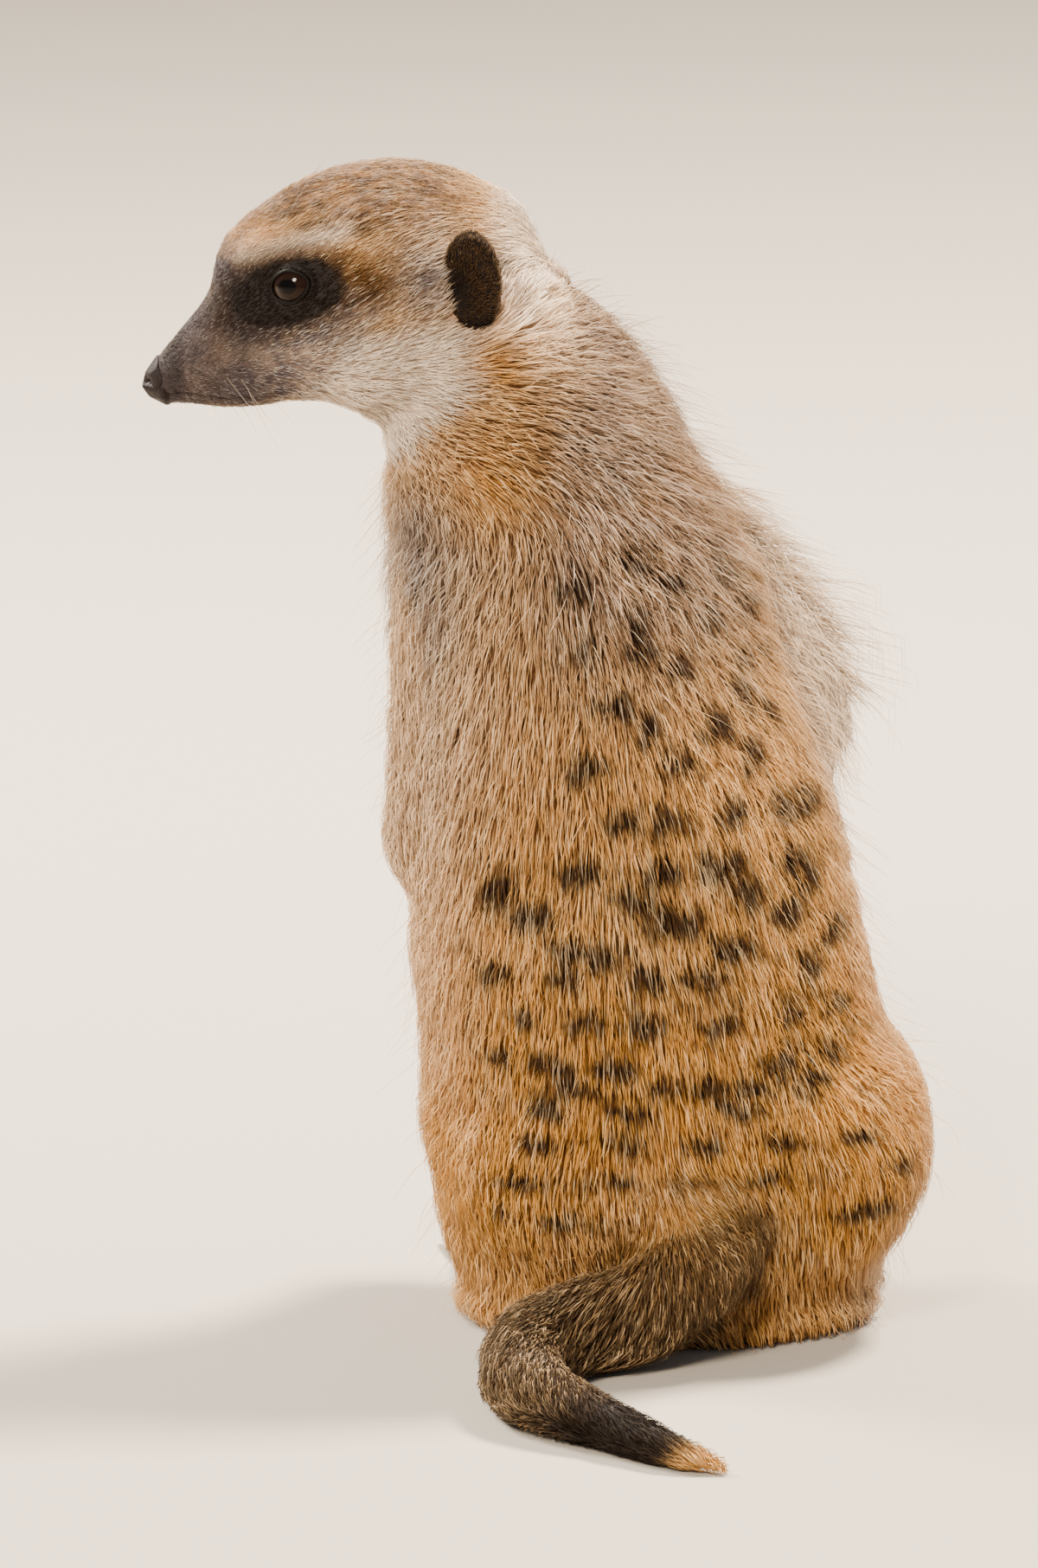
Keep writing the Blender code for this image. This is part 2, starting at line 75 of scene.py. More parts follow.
# How the coat grows on each node: the flesh's depth under the tips, the hair's length and a tuft's width in
# millimetres, how far the root stands up in degrees, and tufts to a square millimetre.
GROWTH = {
    "trunk": (4.4, 12.0, 0.34, 24, 1.45),
    "neck": (3.4, 9.5, 0.30, 22, 2.1),
    "head": (1.3, 4.0, 0.22, 20, 3.3),
    "ear": (0.8, 1.5, 0.16, 26, 0.0),
    "nose": (0.2, 0.9, 0.16, 14, 3.0),
    "upper_arm": (2.8, 9.5, 0.33, 22, 2.0),
    "forearm": (1.6, 6.0, 0.28, 18, 2.4),
    "forepaw": (0.5, 2.4, 0.2, 16, 3.0),
    "thigh": (4.0, 11.5, 0.34, 22, 1.5),
    "shank": (2.0, 7.0, 0.32, 18, 1.9),
    "hind_foot": (0.6, 2.8, 0.22, 16, 2.6),
    "tail_root": (2.4, 7.5, 0.32, 20, 2.4),
    "tail_middle": (1.8, 6.0, 0.28, 18, 2.8),
    "tail_tip": (1.4, 6.5, 0.28, 14, 3.0),
}
MEASURES = ("depth", "length", "width", "lift", "density")
DEPTH, LENGTH, WIDTH, LIFT, DENSITY = range(5)

# How far the eyes are forward of the head's middle and above it, in millimetres.
EYES_FORWARD, EYES_RISE = 23.2, -1.8
# The middle of each eye's dark patch, forward and up from the head's, and its slope's cosine and sine.
PATCH_AT, PATCH_SLOPE = (25.0, -3.0), (0.945, 0.326)

# Dark spots down the back, in rows: height in millimetres, then degrees from the spine to the animal's left.
SPOT_ROWS = (
    (29, (53, 34, -13, -40)),
    (37, (44, 24, 6, -16, -48)),
    (45, (42, 20, 0, -19, -38)),
    (52, (56, 37, 19, -9, -50)),
    (57, (30, 8, -3, -16, -31)),
    (61, (49, 35, 19, -24, -42)),
    (70, (43, 25, 11, -8, -29, -47)),
    (79, (52, 30, 10, -4, -38)),
    (85, (28, 19, -15, -50)),
    (91, (39, 4, -3, -33)),
    (96, (48, 12, -20, -42)),
    (101, (25, 5, -11, -35)),
    (111, (18, 6, -14, -33, -45)),
    (122, (30, 4, -22)),
    (129, (12, -8, -34)),
    (134, (22, -20)),
    (140, (1, -28, -44)),
    (144, (31, 14)),
    (149, (15, -10, -33)),
    (156, (37, 5, -24)),
    (161, (19, -12)),
)
TRUNK_TURN = radians(79)  # how far the trunk has turned at its top
TRUNK_TOP = 215  # mm
BACK_TO, FRONT_FROM = 70, 125  # degrees from the spine: where the flanks begin and end
BACK_RADIUS = 46  # mm, which turns degrees round the back to a length
ROW_PITCH = 9.2  # mm from one row of faint dashes to the next


SWELL = 0.6  # mm that the solids swell by, so that the thin cuts between them close
SKIN_OFF_FLOOR, HAIR_OFF_FLOOR = 0.15, 0.35  # mm
SKIN_PAINTED_SHADE = (0.7, 0.2)  # the skin's lightness, darker than the coat's as painted shade between the hairs, and how far along a hair it looks
STEEPEST = radians(62)  # no hair stands up more than this
PIECE_TRIANGLES = 200000  # fewer than this in any piece of the coat
UV_LONG, UV_HALF = 0.003, 0.0013  # a tuft's length on the OFBake map, and half its width


def linear(code):
    """The linear colour of an sRGB hex code."""
    parts = [int(code[i : i + 2], 16) / 255 for i in (1, 3, 5)]
    return tuple(p / 12.92 if p <= 0.04045 else ((p + 0.055) / 1.055) ** 2.4 for p in parts) + (1,)


def ramp(low, high, value):
    """0 below low, 1 above high, and smooth between. With low above high it falls."""
    share = np.clip((value - low) / (high - low), 0, 1)
    return share * share * (3 - 2 * share)


def bell(*terms):
    """1 where every term is at its middle, falling smoothly away. A term is a value, its middle and reach."""
    return np.exp(-sum(((value - middle) / reach) ** 2 for value, middle, reach in terms))


def highest(*masks):
    """The highest of the masks at each point."""
    return np.maximum.reduce(masks)


def away(points, place):
    """How far each point is from a place, in millimetres."""
    return np.linalg.norm(points - place, axis=1) / MM


def unit(vectors):
    return vectors / np.maximum(np.linalg.norm(vectors, axis=-1, keepdims=True), 1e-12)


def cell_corners(part):
    """Each corner of a unit cell, with its weight at each place in the cell."""
    for corner in np.ndindex(2, 2, 2):
        yield corner, np.prod(np.where(np.array(corner), part, 1 - part), axis=1)


def cloud(points, size, seed):
    """Smooth noise from 0 to 1 with blobs about this size across, the same at each run."""
    lattice = np.random.default_rng(seed).random((16, 16, 16))
    cell = points / size
    base = np.floor(cell).astype(int)
    part = cell - base
    part = part * part * (3 - 2 * part)
    total = np.zeros(len(points))
    for corner, weight in cell_corners(part):
        at = (base + corner) % len(lattice)
        total += weight * lattice[at[:, 0], at[:, 1], at[:, 2]]
    return total


def centre(node):
    low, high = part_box(node)
    return np.array((low + high) / 2)


class Head:
    """The head's own axes, found from the eyes: forward, aside to the animal's left, and up."""

    aside = unit((centre("eye_left") - centre("eye_right")) * (1, 1, 0))
    forward = np.cross(aside, UP)
    middle = (centre("eye_left") + centre("eye_right")) / 2 - (forward * EYES_FORWARD + UP * EYES_RISE) * MM

    @classmethod
    def place(cls, forward, aside, rise):
        """The point this many millimetres from the head's middle."""
        return cls.middle + (cls.forward * forward + cls.aside * aside + UP * rise) * MM

    @classmethod
    def read(cls, points):
        """How far forward, aside and up each point is, in millimetres."""
        off = (points - cls.middle) / MM
        return off @ cls.forward, off @ cls.aside, off[:, 2]


# Meshes in and out of arrays.


def read_all(items, field, width, kind=np.float32):
    """One field of every item, in rows of this width."""
    found = np.empty(len(items) * width, kind)
    items.foreach_get(field, found)
    return found.reshape(-1, width)


def points_of(mesh):
    return read_all(mesh.vertices, "co", 3).astype(float)


def normals_of(mesh):
    return read_all(mesh.vertex_normals, "vector", 3).astype(float)


def areas_of(corners):
    """Each triangle's area, from its three corners."""
    across, along = corners[:, 1] - corners[:, 0], corners[:, 2] - corners[:, 0]
    return np.linalg.norm(np.cross(across, along), axis=1) / 2


def drawn_places(draw, count):
    """A random place in each of as many triangles, as the weights of its three corners."""
    u, v = draw.random((2, count))
    flip = u + v > 1
    u, v = np.where(flip, 1 - u, u), np.where(flip, 1 - v, v)
    return np.stack((1 - u - v, u, v), axis=1)


def set_points(mesh, points):
    mesh.vertices.foreach_set("co", points.astype(np.float32).ravel())
    mesh.update()


def triangles_of(mesh):
    mesh.calc_loop_triangles()
    return read_all(mesh.loop_triangles, "vertices", 3, np.int32)


def linked(name, mesh):
    made = bpy.data.objects.new(name, mesh)
    bpy.context.scene.collection.objects.link(made)
    return made


def mesh_of(name, points, faces):
    """A mesh from points and a list of face arrays, each of faces with the same number of corners."""
    mesh = bpy.data.meshes.new(name)
    mesh.vertices.add(len(points))
    mesh.vertices.foreach_set("co", points.astype(np.float32).ravel())
    sizes = np.concatenate([np.full(len(group), group.shape[1]) for group in faces])
    mesh.loops.add(int(sizes.sum()))
    mesh.loops.foreach_set("vertex_index", np.concatenate([g.ravel() for g in faces]).astype(np.int32))
    mesh.polygons.add(len(sizes))
    starts = np.concatenate(([0], np.cumsum(sizes)[:-1]))
    mesh.polygons.foreach_set("loop_start", starts.astype(np.int32))
    mesh.update(calc_edges=True)
    mesh.polygons.foreach_set("use_smooth", np.ones(len(sizes), bool))
    return mesh


def strip_faces(rings, columns):
    """Four-cornered faces from each ring of points to the next, where every ring is closed on itself."""
    ring, column = np.mgrid[: rings - 1, :columns]
    here, after = ring * columns + column, ring * columns + (column + 1) % columns
    return np.stack((here, here + columns, after + columns, after), axis=-1).reshape(-1, 4)


def lathed(axes, tilt, turn, out):
    """Points at these tilts from the first axis and turns about it, this far out, as one list."""
    axis, level, upright = axes
    far = (np.cos(tilt) * out)[..., None]
    wide = (np.sin(tilt) * out)[..., None]
    points = axis * far + level * wide * np.cos(turn)[..., None] + upright * wide * np.sin(turn)[..., None]
    return points.reshape(-1, 3)


def lay_out(mesh, places):
    """Stores each face corner's place on the OFBake map."""
    layer = mesh.uv_layers.new(name="OFBake")
    layer.data.foreach_set("uv", places.astype(np.float32).ravel())


def give(mesh, name, kind, values, domain="POINT"):
    """Stores values as an attribute that a material reads."""
    made = mesh.attributes.new(name, kind, domain)
    field = {"FLOAT": "value", "FLOAT_COLOR": "color", "FLOAT_VECTOR": "vector"}[kind]
    made.data.foreach_set(field, np.ascontiguousarray(values, np.float32).ravel())


def merged_copy(node):
    """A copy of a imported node's mesh with its doubled corners merged."""
    bm = bmesh.new()
    bm.from_mesh(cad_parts[node].data)
    bmesh.ops.remove_doubles(bm, verts=bm.verts, dist=1e-6)
    bmesh.ops.recalc_face_normals(bm, faces=bm.faces)
    mesh = bpy.data.meshes.new(node)
    bm.to_mesh(mesh)
    bm.free()
    mesh.materials.clear()
    return mesh


def swollen(mesh, by):
    set_points(mesh, points_of(mesh) + normals_of(mesh) * by)
    return mesh


def joined(name, meshes):
    bm = bmesh.new()
    for mesh in meshes:
        bm.from_mesh(mesh)
        bpy.data.meshes.remove(mesh)
    whole = bpy.data.meshes.new(name)
    bm.to_mesh(whole)
    bm.free()
    return linked(name, whole)


def applied(made):
    """The object with its modifiers made part of its mesh."""
    graph = bpy.context.evaluated_depsgraph_get()
    mesh = bpy.data.meshes.new_from_object(made.evaluated_get(graph), depsgraph=graph)
    old = made.data
    made.modifiers.clear()
    made.data = mesh
    mesh.name = made.name
    bpy.data.meshes.remove(old)
    return made


def remeshed(made, voxel):
    """One closed even mesh of all that the object holds."""
    change = made.modifiers.new("even", "REMESH")
    change.mode = "VOXEL"
    change.voxel_size = voxel
    return applied(made)


def smooth_shaded(mesh):
    mesh.polygons.foreach_set("use_smooth", np.ones(len(mesh.polygons), bool))


def dress(made, material, slot, *replaced):
    """The last steps of a piece: its finish, its body and the nodes that it stands for."""
    made.data.materials.clear()
    made.data.materials.append(material)
    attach(made, "root")
    if replaced:
        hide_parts(*replaced)
    return made


class Net:
    """A mesh's vertices as arrays, with their neighbours."""

    def __init__(self, mesh):
        self.points = points_of(mesh)
        self.normals = normals_of(mesh)
        edges = read_all(mesh.edges, "vertices", 2, np.int32)
        self.triangles = triangles_of(mesh)
        self.count = len(self.points)
        self.starts = np.concatenate((edges[:, 0], edges[:, 1]))
        self.ends = np.concatenate((edges[:, 1], edges[:, 0]))
        self.degree = np.maximum(np.bincount(self.starts, minlength=self.count), 1)

    def mean(self, values):
        """Each vertex's mean over its neighbours."""
        if values.ndim == 1:
            return np.bincount(self.starts, values[self.ends], self.count) / self.degree
        return np.stack([self.mean(column) for column in values.T], axis=1)

    def smoothed(self, values, passes):
        for _ in range(passes):
            values = (values + self.mean(values)) / 2
        return values

    def flattened(self, vectors):
        """Unit vectors along the skin."""
        along = np.sum(vectors * self.normals, axis=1, keepdims=True)
        return unit(vectors - self.normals * along)

    def distance_from(self, place):
        """Each vertex's distance along the skin from the one nearest to place."""
        first = int(np.argmin(np.linalg.norm(self.points - place, axis=1)))
        lengths = np.linalg.norm(self.points[self.starts] - self.points[self.ends], axis=1)
        order = np.argsort(self.starts, kind="stable")
        ends, lengths = self.ends[order].tolist(), lengths[order].tolist()
        offsets = np.concatenate(([0], np.cumsum(np.bincount(self.starts, minlength=self.count)))).tolist()
        found = [1e9] * self.count
        found[first] = 0.0
        heap = [(0.0, first)]
        while heap:
            so_far, vertex = heapq.heappop(heap)
            if so_far > found[vertex]:
                continue
            for i in range(offsets[vertex], offsets[vertex + 1]):
                reached = so_far + lengths[i]
                if reached < found[ends[i]]:
                    found[ends[i]] = reached
                    heapq.heappush(heap, (reached, ends[i]))
        return np.array(found)

    def uphill(self, values):
        """The direction along the skin in which values rise."""
        a, b, c = (self.points[self.triangles[:, i]] for i in range(3))
        va, vb, vc = (values[self.triangles[:, i]] for i in range(3))
        face = np.cross(b - a, c - a)
        area = np.maximum(np.linalg.norm(face, axis=1, keepdims=True), 1e-15)
        normal = face / area
        slope = (
            np.cross(normal, c - b) * va[:, None]
            + np.cross(normal, a - c) * vb[:, None]
            + np.cross(normal, b - a) * vc[:, None]
        )
        total = np.zeros((self.count, 3))
        for corner in range(3):
            at = self.triangles[:, corner]
            for axis in range(3):
                total[:, axis] += np.bincount(at, slope[:, axis], self.count)
        return unit(total)


def moved(mesh, points):
    """The mesh's net once its points are moved here."""
    set_points(mesh, points)
    return Net(mesh)


class Field:
    """Values on the skin carried out into the space round it, so that a hair can follow them off its root."""

    def __init__(self, points, values, pitch, spread):
        margin = spread * pitch
        self.pitch = pitch
        self.low = points.min(0) - margin
        self.shape = np.ceil((points.max(0) + margin - self.low) / pitch).astype(int) + 2
        cells = np.floor((points - self.low) / pitch + 0.5).astype(int)
        flat = np.ravel_multi_index(cells.T, self.shape)
        size = int(np.prod(self.shape))
        columns = [np.ones(len(points)), *values.T]
        grids = [np.bincount(flat, column, size).reshape(self.shape).astype(np.float32) for column in columns]
        for _ in range(spread):
            for i, grid in enumerate(grids):
                wider = grid.copy()
                for axis in range(3):
                    wider += 0.35 * (np.roll(grid, 1, axis) + np.roll(grid, -1, axis))
                grids[i] = wider
        self.values = np.stack([grid / np.maximum(grids[0], 1e-12) for grid in grids[1:]], axis=-1)

    def at(self, points):
        cell = (points - self.low) / self.pitch
        base = np.clip(np.floor(cell).astype(int), 0, self.shape - 2)
        part = np.clip(cell - base, 0, 1)
        total = np.zeros((len(points), self.values.shape[-1]))
        for corner, weight in cell_corners(part):
            spot = base + corner
            total += weight[:, None] * self.values[spot[:, 0], spot[:, 1], spot[:, 2]]
        return total


# Materials.

# Kinds of node and settings that more than one material uses.
ATTRIBUTE, RANGE, OUTPUT = "ShaderNodeAttribute", "ShaderNodeMapRange", "ShaderNodeOutputMaterial"
MIX, MATH, NOISE, BUMP = "ShaderNodeMix", "ShaderNodeMath", "ShaderNodeTexNoise", "ShaderNodeBump"
PRINCIPLED = "ShaderNodeBsdfPrincipled"
PLAIN = {"data_type": "RGBA"}
TINTED = {"data_type": "RGBA", "blend_type": "MULTIPLY"}
TIMES = {"operation": "MULTIPLY"}
LESS = {"operation": "SUBTRACT", "use_clamp": True}
# The sockets of a mix of colours. They are numbers, as its sockets for other kinds have the same names.
FACTOR, FIRST, SECOND, RESULT = 0, 6, 7, 2


def add_node(tree, kind, settings=None, inputs=None):
    """A node with its settings. An input given as a socket is linked, and any other is set."""
    made = tree.nodes.new(kind)
    for name, value in (settings or {}).items():
        setattr(made, name, value)
    for name, value in (inputs or {}).items():
        if isinstance(value, bpy.types.NodeSocket):
            tree.links.new(value, made.inputs[name])
        else:
            made.inputs[name].default_value = value
    return made


def blank(name):
    """A material with no nodes yet, and its tree."""
    made = bpy.data.materials.new(name)
    made.use_nodes = True
    made.node_tree.nodes.clear()
    return made, made.node_tree


def pigment(tree, colours):
    """The coat's colour where its markings are: the base mixed with each pigment in turn."""
    marks, more = (add_node(tree, ATTRIBUTE, {"attribute_name": name}) for name in ("marks", "more_marks"))
    split = add_node(tree, "ShaderNodeSeparateColor", None, {"Color": marks.outputs["Color"]}).outputs
    rest = add_node(tree, "ShaderNodeSeparateColor", None, {"Color": more.outputs["Color"]}).outputs
    grey, dark, olive = split["Blue"], rest["Red"], rest["Green"]
    own, along = rest["Blue"], more.outputs["Alpha"]
    shade = tuple(colours.sand)
    for mask, colour in (
        (split["Red"], colours.rust),
        (split["Green"], colours.cream),
        (grey, colours.grey),
        (olive, colours.olive),
        (marks.outputs["Alpha"], colours.band),
        (dark, colours.dark),
    ):
        mix = {FACTOR: mask, FIRST: shade, SECOND: tuple(colour)}
        shade = add_node(tree, MIX, PLAIN, mix).outputs[RESULT]
    # Each tuft has its own lightness, from a darker shade to one with a pale tip.
    tints = {FACTOR: grey, FIRST: (0.42, 0.32, 0.25, 1), SECOND: (0.4, 0.38, 0.38, 1)}
    tint = add_node(tree, MIX, PLAIN, tints).outputs[RESULT]
    darker = add_node(tree, MIX, TINTED, {FACTOR: 1.0, FIRST: shade, SECOND: tint}).outputs[RESULT]
    tips = {FACTOR: grey, FIRST: (0.95, 0.74, 0.46, 1), SECOND: (0.8, 0.77, 0.77, 1)}
    tip = add_node(tree, MIX, PLAIN, tips).outputs[RESULT]
    paler = add_node(tree, MIX, PLAIN, {FACTOR: 0.35, FIRST: shade, SECOND: tip}).outputs[RESULT]
    less = add_node(tree, MATH, LESS, {0: 1.0, 1: own}).outputs[0]
    shade = add_node(tree, MIX, PLAIN, {FACTOR: less, FIRST: shade, SECOND: darker}).outputs[RESULT]
    lit = add_node(tree, RANGE, None, {"Value": own, "From Min": 0.85, "From Max": 1.0}).outputs["Result"]
    # The dark and olive marks stay without pale tips.
    not_dark = add_node(tree, MATH, LESS, {0: 1.0, 1: dark}).outputs[0]
    part = add_node(tree, MATH, TIMES, {0: 0.7, 1: olive}).outputs[0]
    not_olive = add_node(tree, MATH, LESS, {0: 1.0, 1: part}).outputs[0]
    keep = add_node(tree, MATH, TIMES, {0: not_dark, 1: not_olive}).outputs[0]
    lit = add_node(tree, MATH, TIMES, {0: lit, 1: keep}).outputs[0]
    shade = add_node(tree, MIX, PLAIN, {FACTOR: lit, FIRST: shade, SECOND: paler}).outputs[RESULT]
    # Hair is darker at the root.
    root = add_node(tree, RANGE, None, {"Value": along, "From Max": 0.6, "To Min": 0.4, "To Max": 0})
    darker = add_node(tree, MIX, TINTED, {FACTOR: 1.0, FIRST: shade, SECOND: tint}).outputs[RESULT]
    mix = {FACTOR: root.outputs["Result"], FIRST: shade, SECOND: darker}
    return add_node(tree, MIX, PLAIN, mix).outputs[RESULT]


def fur_material(name, colours, glow=0.3):
    """Guard hair, a fine pale keratin fibre: soft, a little silky, and it lets some light through."""
    made, tree = blank(name)
    shade = pigment(tree, colours)
    looks = {"Base Color": shade, "Roughness": 0.6, "IOR": 1.55, "Specular IOR Level": 0.1}
    hair = add_node(tree, PRINCIPLED, None, looks)
    gold = {FACTOR: 0.35, FIRST: shade, SECOND: (1.0, 0.86, 0.62, 1)}
    lit = add_node(tree, MIX, PLAIN, gold).outputs[RESULT]
    through = add_node(tree, "ShaderNodeBsdfTranslucent", None, {"Color": lit})
    both = {0: glow, 1: hair.outputs[0], 2: through.outputs[0]}
    mix = add_node(tree, "ShaderNodeMixShader", None, both)
    add_node(tree, OUTPUT, None, {"Surface": mix.outputs[0]})
    return made


def skin_material(colours):
    """Skin under short hair: the coat's own markings, painted darker as the shade between the hairs, with a
    grain as fine as the hair's roots.
    """
    made, tree = blank("Skin_Under_Short_Hair")
    # The skin is painted darker than the hair, as painted shade in the gaps between the tufts.
    tints = {FACTOR: 0.85, FIRST: pigment(tree, colours), SECOND: (0.5, 0.42, 0.37, 1)}
    shade = add_node(tree, MIX, TINTED, tints).outputs[RESULT]
    where = add_node(tree, "ShaderNodeTexCoord").outputs["Object"]
    # Hair roots stand about 0.4 mm apart.
    grain = add_node(tree, NOISE, None, {"Vector": where, "Scale": 2500.0, "Detail": 3.0}).outputs["Fac"]
    rough = {"Height": grain, "Strength": 0.5, "Distance": 0.0003}
    bump = add_node(tree, BUMP, None, rough).outputs["Normal"]
    looks = {"Base Color": shade, "Roughness": 0.75, "Specular IOR Level": 0.25, "Normal": bump}
    skin = add_node(tree, PRINCIPLED, None, looks)
    add_node(tree, OUTPUT, None, {"Surface": skin.outputs[0]})
    return made


def bare_skin_material(name, colour, paler, pore, roughness, shine):
    """Bare moist skin, such as a nose or a lid: fine pebbles, pore millimetres wide, with painted shade in the
    creases between them.
    """
    made, tree = blank(name)
    colour, paler = tuple(colour), tuple(paler)
    where = add_node(tree, "ShaderNodeTexCoord").outputs["Object"]
    size = {"Vector": where, "Scale": 1 / (pore * MM)}
    pebbles = add_node(tree, "ShaderNodeTexVoronoi", {"feature": "F1"}, size).outputs["Distance"]
    stain = add_node(tree, NOISE, None, {"Vector": where, "Scale": 900.0, "Detail": 4.0}).outputs["Fac"]
    shade = add_node(tree, MIX, PLAIN, {FACTOR: stain, FIRST: colour, SECOND: paler}).outputs[RESULT]
    # The creases between the pebbles keep the darkest colour, as painted shade.
    shade = add_node(tree, MIX, PLAIN, {FACTOR: pebbles, FIRST: shade, SECOND: colour}).outputs[RESULT]
    rough = {"Height": pebbles, "Strength": 0.5, "Distance": 0.00015}
    bump = add_node(tree, BUMP, {"invert": True}, rough).outputs["Normal"]
    looks = {"Base Color": shade, "Roughness": roughness, "Specular IOR Level": shine, "Normal": bump}
    skin = add_node(tree, PRINCIPLED, None, looks)
    add_node(tree, OUTPUT, None, {"Surface": skin.outputs[0]})
    return made


def eye_material(colours):
    """A wet eyeball: brown iris streaked outwards from a level oval pupil, under a clear smooth cornea."""
    made, tree = blank("Wet_Eyeball")
    ring, pupil, streak = (
        add_node(tree, ATTRIBUTE, {"attribute_name": name}).outputs["Fac"]
        for name in ("iris", "pupil", "round_iris")
    )
    fibre = add_node(tree, NOISE, {"noise_dimensions": "1D"}, {"W": streak, "Scale": 14.0, "Detail": 3.0})
    mix = {FACTOR: fibre.outputs["Fac"], FIRST: tuple(colours.iris), SECOND: linear("#120906")}
    shade = add_node(tree, MIX, PLAIN, mix).outputs[RESULT]
    # The dark white of the eye lies outside the iris, and the pupil inside it.
    for value, low, high, colour in ((ring, 0.92, 1.05, "#1A1210"), (pupil, 1.08, 0.92, "#040303")):
        edge = add_node(tree, RANGE, None, {"Value": value, "From Min": low, "From Max": high})
        mix = {FACTOR: edge.outputs["Result"], FIRST: shade, SECOND: linear(colour)}
        shade = add_node(tree, MIX, PLAIN, mix).outputs[RESULT]
    looks = {"Base Color": shade, "Roughness": 0.06, "IOR": 1.34, "Specular IOR Level": 0.2}
    ball = add_node(tree, PRINCIPLED, None, looks)
    add_node(tree, OUTPUT, None, {"Surface": ball.outputs[0]})
    return made


def claw_material(colours):
    """Horn of a digging claw: brown at the root, paler towards the worn tip, with a fine mottle."""
    made, tree = blank("Claw_Horn")
    along = add_node(tree, ATTRIBUTE, {"attribute_name": "along"}).outputs["Fac"]
    where = add_node(tree, "ShaderNodeTexCoord").outputs["Object"]
    stain = add_node(tree, NOISE, None, {"Vector": where, "Scale": 1500.0, "Detail": 4.0}).outputs["Fac"]
    root = tuple(colours.claw)
    mix = {FACTOR: along, FIRST: root, SECOND: linear("#3A2C22")}
    shade = add_node(tree, MIX, PLAIN, mix).outputs[RESULT]
    some = add_node(tree, MATH, TIMES, {0: stain, 1: 0.6}).outputs[0]
    shade = add_node(tree, MIX, PLAIN, {FACTOR: some, FIRST: shade, SECOND: root}).outputs[RESULT]
    rough = {"Height": stain, "Strength": 0.3, "Distance": 0.0001}
    bump = add_node(tree, BUMP, None, rough).outputs["Normal"]
    looks = {"Base Color": shade, "Roughness": 0.4, "Specular IOR Level": 0.25, "Normal": bump}
    horn = add_node(tree, PRINCIPLED, None, looks)
    add_node(tree, OUTPUT, None, {"Surface": horn.outputs[0]})
    return made


# The skin.

FLESH = [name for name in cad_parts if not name.startswith(("eye_", "claw_"))]
# The kinds of node that growth and markings follow. The tail's three lengths count as one.
SHARED = [kind for kind in GROWTH if not kind.startswith("tail")] + ["tail"]
BUILT = {}  # what one operator leaves for the next


def kind_of(node):
    """The row of GROWTH that a node follows."""
    return next(kind for kind in sorted(GROWTH, key=len, reverse=True) if node.startswith(kind))


def is_on(names, *starts):
    """Whether each node's name starts in one of these ways."""
    return np.logical_or.reduce([np.char.startswith(names, start) for start in starts])


def node_samples(spacing):
    """Points over every flesh node's surface, about this far apart, and the node that each is on."""
    draw = np.random.default_rng(SEED)
    points, owners = [], []
    for number, node in enumerate(FLESH):
        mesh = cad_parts[node].data
        corners = points_of(mesh)[triangles_of(mesh)]
        area = areas_of(corners)
        count = max(60, int(area.sum() / spacing**2))
        at = np.searchsorted(np.cumsum(area) / area.sum(), (np.arange(count) + 0.5) / count)
        points.append(np.sum(corners[at] * drawn_places(draw, count)[:, :, None], axis=1))
        owners.append(np.full(count, number))
    return np.concatenate(points), np.concatenate(owners)


def nearest_of(points, targets):
    """The number of the point nearest to each target."""
    tree = kdtree.KDTree(len(points))
    for i, point in enumerate(points):
        tree.insert(point, i)
    tree.balance()
    return np.array([tree.find(target)[1] for target in targets])


def thinned(made, fine, kept):
    """Keeps this share of the object's faces, apart from the fine ones."""
    group = made.vertex_groups.new(name="coarse")
    group.add(np.flatnonzero(~fine).tolist(), 1.0, "REPLACE")
    change = made.modifiers.new("thin", "DECIMATE")
    change.ratio = kept
    change.vertex_group = group.name
    change.vertex_group_factor = 1.0
    applied(made)
    made.vertex_groups.clear()


def spine_angle(points):
    """Degrees round the trunk from its back to the animal's left, and the height in millimetres.
    The trunk leans and turns towards the way that the head faces as it rises."""
    height = points[:, 2] / MM
    axis = BUILT["axis"]
    across, back = (points[:, i] - np.interp(height, axis["height"], axis["middle"][:, i]) for i in (0, 1))
    turn = TRUNK_TURN * np.clip(height / TRUNK_TOP, 0, 1) ** 3.2
    to_left = across * np.cos(turn) + back * np.sin(turn)
    to_back = -across * np.sin(turn) + back * np.cos(turn)
    return np.degrees(np.arctan2(to_left, to_back)), height


def find_axis(net, owner_names):
    """The middle of the trunk and neck at each height."""
    points = net.points[is_on(owner_names, "trunk", "neck")]
    heights = np.arange(10, TRUNK_TOP + 1, 8.0)
    middles = []
    for height in heights:
        level = points[np.abs(points[:, 2] / MM - height) < 8]
        middles.append((level.min(0) + level.max(0)) / 2 if len(level) > 20 else middles[-1])
    BUILT["axis"] = {"height": heights, "middle": np.array(middles)}


def groove(forward, rise, line):
    """How far each point of the head's side lies from a line of (forward, rise) corners, in millimetres."""
    best = np.full(len(forward), 1e9)
    for (f0, r0), (f1, r1) in zip(line, line[1:]):
        run, climb = f1 - f0, r1 - r0
        share = np.clip(((forward - f0) * run + (rise - r0) * climb) / (run**2 + climb**2), 0, 1)
        best = np.minimum(best, np.hypot(forward - f0 - run * share, rise - r0 - climb * share))
    return best


# Lines on the side of the head, by their corners' places forward and up.
MOUTH = ((52.0, -26.6), (47.0, -26.2), (39.3, -27.2), (31.0, -26.6), (24.5, -24.2))
TEMPLE = ((27, 9.5), (20, 11.3), (13, 13), (0, 16), (-6, 16))


